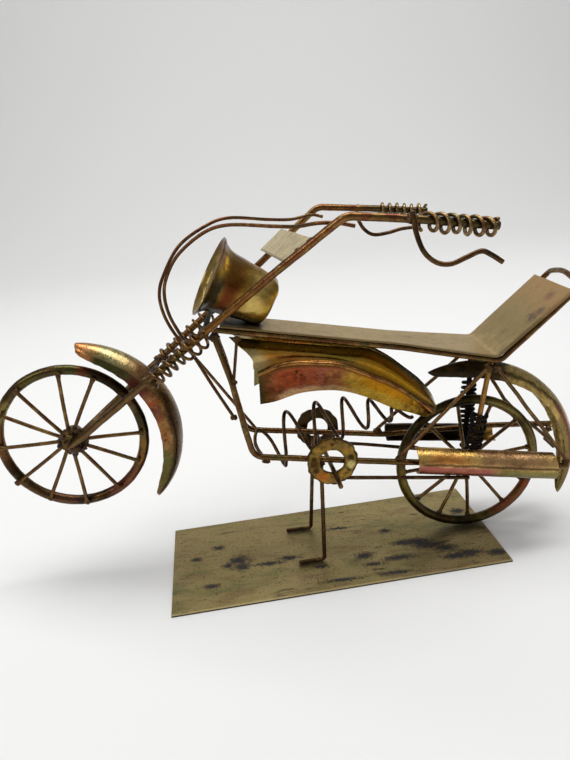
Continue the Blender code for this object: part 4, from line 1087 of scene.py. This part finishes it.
def lower_parts(bronze, dark, black_and_shade):
    wire("footpeg_bar", rounded([(4.0, -36.0, 54.6), (2.4, -22.6, 56.7), (-1.2, 22.0, 57.3),
                                 (-2.0, 28.0, 57.6)], 4.0), 2.4, bronze, "bronze_wire")
    ends = {"near": [(0.0, 17.8, 50.4), (40.0, 17.8, 45.4), (74.0, 17.8, 41.2)],
            "far": [(0.0, 17.8, 52.6), (20.0, 17.8, 50.6), (58.0, 17.8, 42.6)]}
    for name, side in SIDES:
        wire("lower_pipe_" + name, smooth(on_side(ends[name], side)), 2.0, dark, "dark_wire")
    paths = {"strut_front_near": [(83.5, -18.0, 101.8), (38.0, -17.6, 57.9)],
             "strut_front_far": [(86.5, 18.0, 101.4), (33.0, 17.6, 58.6)],
             "strut_rear_near": [(87.0, -18.0, 101.4), (126.6, -17.6, 45.0)],
             "strut_rear_far": [(91.6, 15.0, 95.4), (98.6, 15.0, 81.0), (104.9, 14.6, 69.9),
                                (112.6, 14.2, 60.6), (131.3, 13.0, 42.6), (134.8, 12.6, 38.8)]}
    for name, path in paths.items():
        wire(name, rounded(path, 3.0), 2.0, bronze, "bronze_wire", wobble=0.25)
    brass_rod = Finish("shock_brass", (146, 110, 58), rough=0.3)
    brass_rod.blotches((166, 104, 46), 5.0, 0.6, 0.35, 1)
    aged(brass_rod, 18, 0.3).done()
    rods = {"near": ((87.0, 11.4, 103.6), (76.6, 11.2, 44.6), 0.5),
            "far": ((85.0, 11.4, 103.8), (81.6, 11.2, 44.2), 0.32)}
    for name, side in SIDES:
        top, bottom, start = rods[name]
        top, bottom = on_side([top, bottom], side)
        # painted shade: the far shock rod takes the dark finish while the near one is brass
        wire("shock_rod_" + name, [top, bottom], 2.8, brass_rod if side == NEAR else black_and_shade,
             "bronze_wire" if side == NEAR else "dark_wire")
        turns = 8 if side == NEAR else 13
        line = coil(top + (bottom - top) * start, top + (bottom - top) * 0.94, 3.5, turns, (0, 0, 0), 0.12,
                    30 + side, lean=0.9 * side)
        wire("shock_coil_" + name, line, 1.9, black_and_shade, "dark_wire", sides=10, step=0.5)
    floor = PLATE_THICK + GAP + LEG_WIRE / 2
    legs = {"near": [(-3.2, 17.2, 58.5), (-5.5, 19.2, floor), (-19.2, 20.2, floor)],
            "far": [(-3.7, 17.2, 58.4), (-9.6, 12.2, floor), (-23.8, 12.0, floor)]}
    for name, side in SIDES:
        wire("stand_leg_" + name, rounded(on_side(legs[name], side), 2.0), LEG_WIRE, dark, "bronze_wire")
    wire("rear_fender_stay", [(125.0, -5.4, 47.0), (125.0, 5.4, 47.0)], 1.6, dark, "dark_wire")


def joints(solder, purple):
    """Lumps of solder where wires and sheets meet."""
    places = [((83.5, -18.2, 101.6), 2.0), ((87.0, -18.2, 101.0), 2.2), ((86.6, 18.0, 101.2), 2.0),
              ((37.6, -17.6, 56.6), 1.9), ((33.0, 17.6, 57.2), 1.8), ((126.4, -17.6, 44.0), 1.9),
              ((132.0, 15.6, 47.6), 1.8), ((-6.6, -19.2, 61.0), 1.8), ((11.0, -19.2, 59.4), 1.8),
              ((-9.2, 19.2, 62.0), 1.7), ((8.0, 19.2, 59.8), 1.7), ((-3.2, -17.4, 59.0), 1.7),
              ((-42.6, -17.6, 107.6), 1.3), ((-38.8, -12.8, 128.0), 1.4), ((-31.1, -14.6, 62.6), 1.8),
              ((-44.8, -14.8, 88.4), 1.5),
              ((37.6, -52.0, 181.0), 1.9), ((32.8, 47.6, 178.0), 1.8), ((-49.8, -11.2, 129.6), 2.2),
              ((-51.4, 10.8, 129.6), 2.2), ((86.8, -11.4, 104.0), 1.9), ((85.0, 11.4, 104.0), 1.9),
              ((76.8, -11.4, 45.6), 2.1), ((81.6, 11.4, 45.2), 2.1)]
    for x in (-52.8, -82.6):
        places += [(tuple(leg_point(x, side)), 2.3) for side in (NEAR, FAR)]
    places += [(tuple(leg_point(x, NEAR) + np.array((0, 1.8, 0))), 1.7) for x in (-7.4, -2.0)]
    lumps = [blob(place, (size * 1.15, size * 0.9, size), index + 120, 0.55)
             for index, (place, size) in enumerate(places)]
    piece("joint_solder", lumps, solder)
    hub = [(-132.6, 85.2, 1.5), (-129.9, 87.6, 1.4), (-122.6, 83.7, 1.6), (-122.6, 78.4, 1.6),
           (-127.8, 75.4, 1.5), (-134.6, 80.6, 1.3)]
    lumps = [blob((x, -8.9, z), (size, 0.8, size), i + 160, 0.4) for i, (x, z, size) in enumerate(hub)]
    lumps.append(blob((-126.6, -10.3, 79.0), (3.1, 2.1, 2.7), 170, 0.2))
    piece("front_hub_solder", lumps, purple)


# ---- stage, light, camera

def stage():
    material = bpy.data.materials.new("backdrop")
    material.use_nodes = True
    shader = material.node_tree.nodes["Principled BSDF"]
    shader.inputs["Base Color"].default_value = (0.84, 0.84, 0.835, 1)
    shader.inputs["Roughness"].default_value = 0.9
    shader.inputs["Specular IOR Level"].default_value = 0.1
    profile = [(-2.6, 0.0), (1.0, 0.0)]
    profile += [(1.0 + 0.9 * math.sin(a), 0.9 - 0.9 * math.cos(a)) for a in np.linspace(0.1, math.pi / 2, 16)]
    profile += [(1.9, 3.0)]
    verts = [(x, y, z) for y, z in profile for x in (-3.5, 3.5)]
    faces = [(2 * k, 2 * k + 1, 2 * k + 3, 2 * k + 2) for k in range(len(profile) - 1)]
    mesh = bpy.data.meshes.new("backdrop")
    mesh.from_pydata(verts, [], faces)
    mesh.shade_smooth()
    mesh.materials.append(material)
    floor = bpy.data.objects.new("backdrop", mesh)
    bpy.context.scene.collection.objects.link(floor)


def soft_light(name, place, aim, size, power, colour=(1, 1, 1)):
    light = bpy.data.lights.new(name, "AREA")
    light.shape = "RECTANGLE"
    light.size, light.size_y = size
    light.energy = power
    light.color = colour
    obj = bpy.data.objects.new(name, light)
    obj.location = place
    obj.rotation_euler = (Vector(aim) - Vector(place)).to_track_quat("-Z", "Y").to_euler()
    bpy.context.scene.collection.objects.link(obj)


def lights():
    world = bpy.data.worlds.new("room")
    bpy.context.scene.world = world
    world.use_nodes = True
    background = world.node_tree.nodes["Background"]
    background.inputs["Color"].default_value = (1.0, 1.0, 0.99, 1)
    background.inputs["Strength"].default_value = 0.31
    soft_light("overhead", (0.05, 0.12, 1.3), (0, 0, 0), (1.3, 0.6), 10.8)
    soft_light("wall", (0.3, 0.2, 1.9), (0, 1.8, 1.0), (1.6, 0.8), 15)
    soft_light("side", (-0.9, -0.6, 0.9), (0, 0, 0.08), (0.35, 0.35), 2.8)


CAMERA_PLACE = (-0.028356, -0.307927, 0.210684)
CAMERA_AZIMUTH, CAMERA_ELEVATION, CAMERA_ROLL = -2.094, 19.76, -5.391
CAMERA_LENS = 29.98


def camera():
    a, e, r = (math.radians(v) for v in (CAMERA_AZIMUTH, CAMERA_ELEVATION, CAMERA_ROLL))
    back = Vector((math.sin(a) * math.cos(e), -math.cos(a) * math.cos(e), math.sin(e)))
    level = Vector((math.cos(a), math.sin(a), 0.0))
    up = back.cross(level)
    right = level * math.cos(r) + up * math.sin(r)
    up = up * math.cos(r) - level * math.sin(r)
    data = bpy.data.cameras.new("camera")
    data.lens = CAMERA_LENS
    data.sensor_width = 36.0
    data.clip_start = 0.01
    obj = bpy.data.objects.new("camera", data)
    obj.matrix_world = Matrix.Translation(CAMERA_PLACE) @ Matrix((right, up, back)).transposed().to_4x4()
    bpy.context.scene.collection.objects.link(obj)
    bpy.context.scene.camera = obj


# ---- build

bronze = bronze_wire("bronze_wire_brass").done()
dark = dark_wire("dark_wire_brass").done()
# a dark dull finish for the shock coils; on the fork crossbars and the far shock rod it stands for painted
# shade
black_and_shade = Finish("black_and_shade_wire_brass", (30, 24, 17), rough=0.6, bump=0.4, metallic=0.1)
black_and_shade.blotches((84, 64, 40), 4.0, 0.6, 0.25, 1)
black_and_shade.done()
solder = Finish("solder_brass", (84, 64, 40), rough=0.42, spread=0.14, bump=0.8)
solder.blotches((130, 104, 60), 3.0, 0.6, 0.3, 2)
solder.blotches(INDIGO, 4.0, 0.5, 0.25, 3)
aged(solder, 4, 0.4).done()
pale = Finish("bridge_brass", (222, 206, 158), rough=0.42, spread=0.1, bump=0.2)
pale.blotches(TAN, 6.0, 0.5, 0.4, 1)
pale.specks(BROWN, 0.6, 0.5, 0.08, 2)
pale.zones(((120, 98, 60), 0.7, (0, 0.06), ALL, 3, 0.03, 0.05))
pale.done()

base_plate()
frame_wires(bronze)
seat_rail(bronze)
seat_strip()
fork()
fork_details(bronze, black_and_shade, bronze_wire("grip_brass", 9, (156, 128, 88)).done())
controls(dark)
bridge_plate(pale)
headlight()
wheels(bronze, solder)
fenders()
exhaust_covers()
side_panels(bronze)
engine_coil(dark)
crank_rings()
lower_parts(bronze, dark, black_and_shade)
purple = Finish("hub_brass", (70, 54, 46), rough=0.3, spread=0.1, bump=0.6)
purple.blotches(INDIGO, 3.0, 0.7, 0.35, 3)
purple.blotches((140, 104, 52), 2.5, 0.6, 0.25, 5)
joints(solder, aged(purple, 6, 0.4).done())
stage()
lights()
camera()
bpy.context.scene.view_settings.view_transform = "Standard"
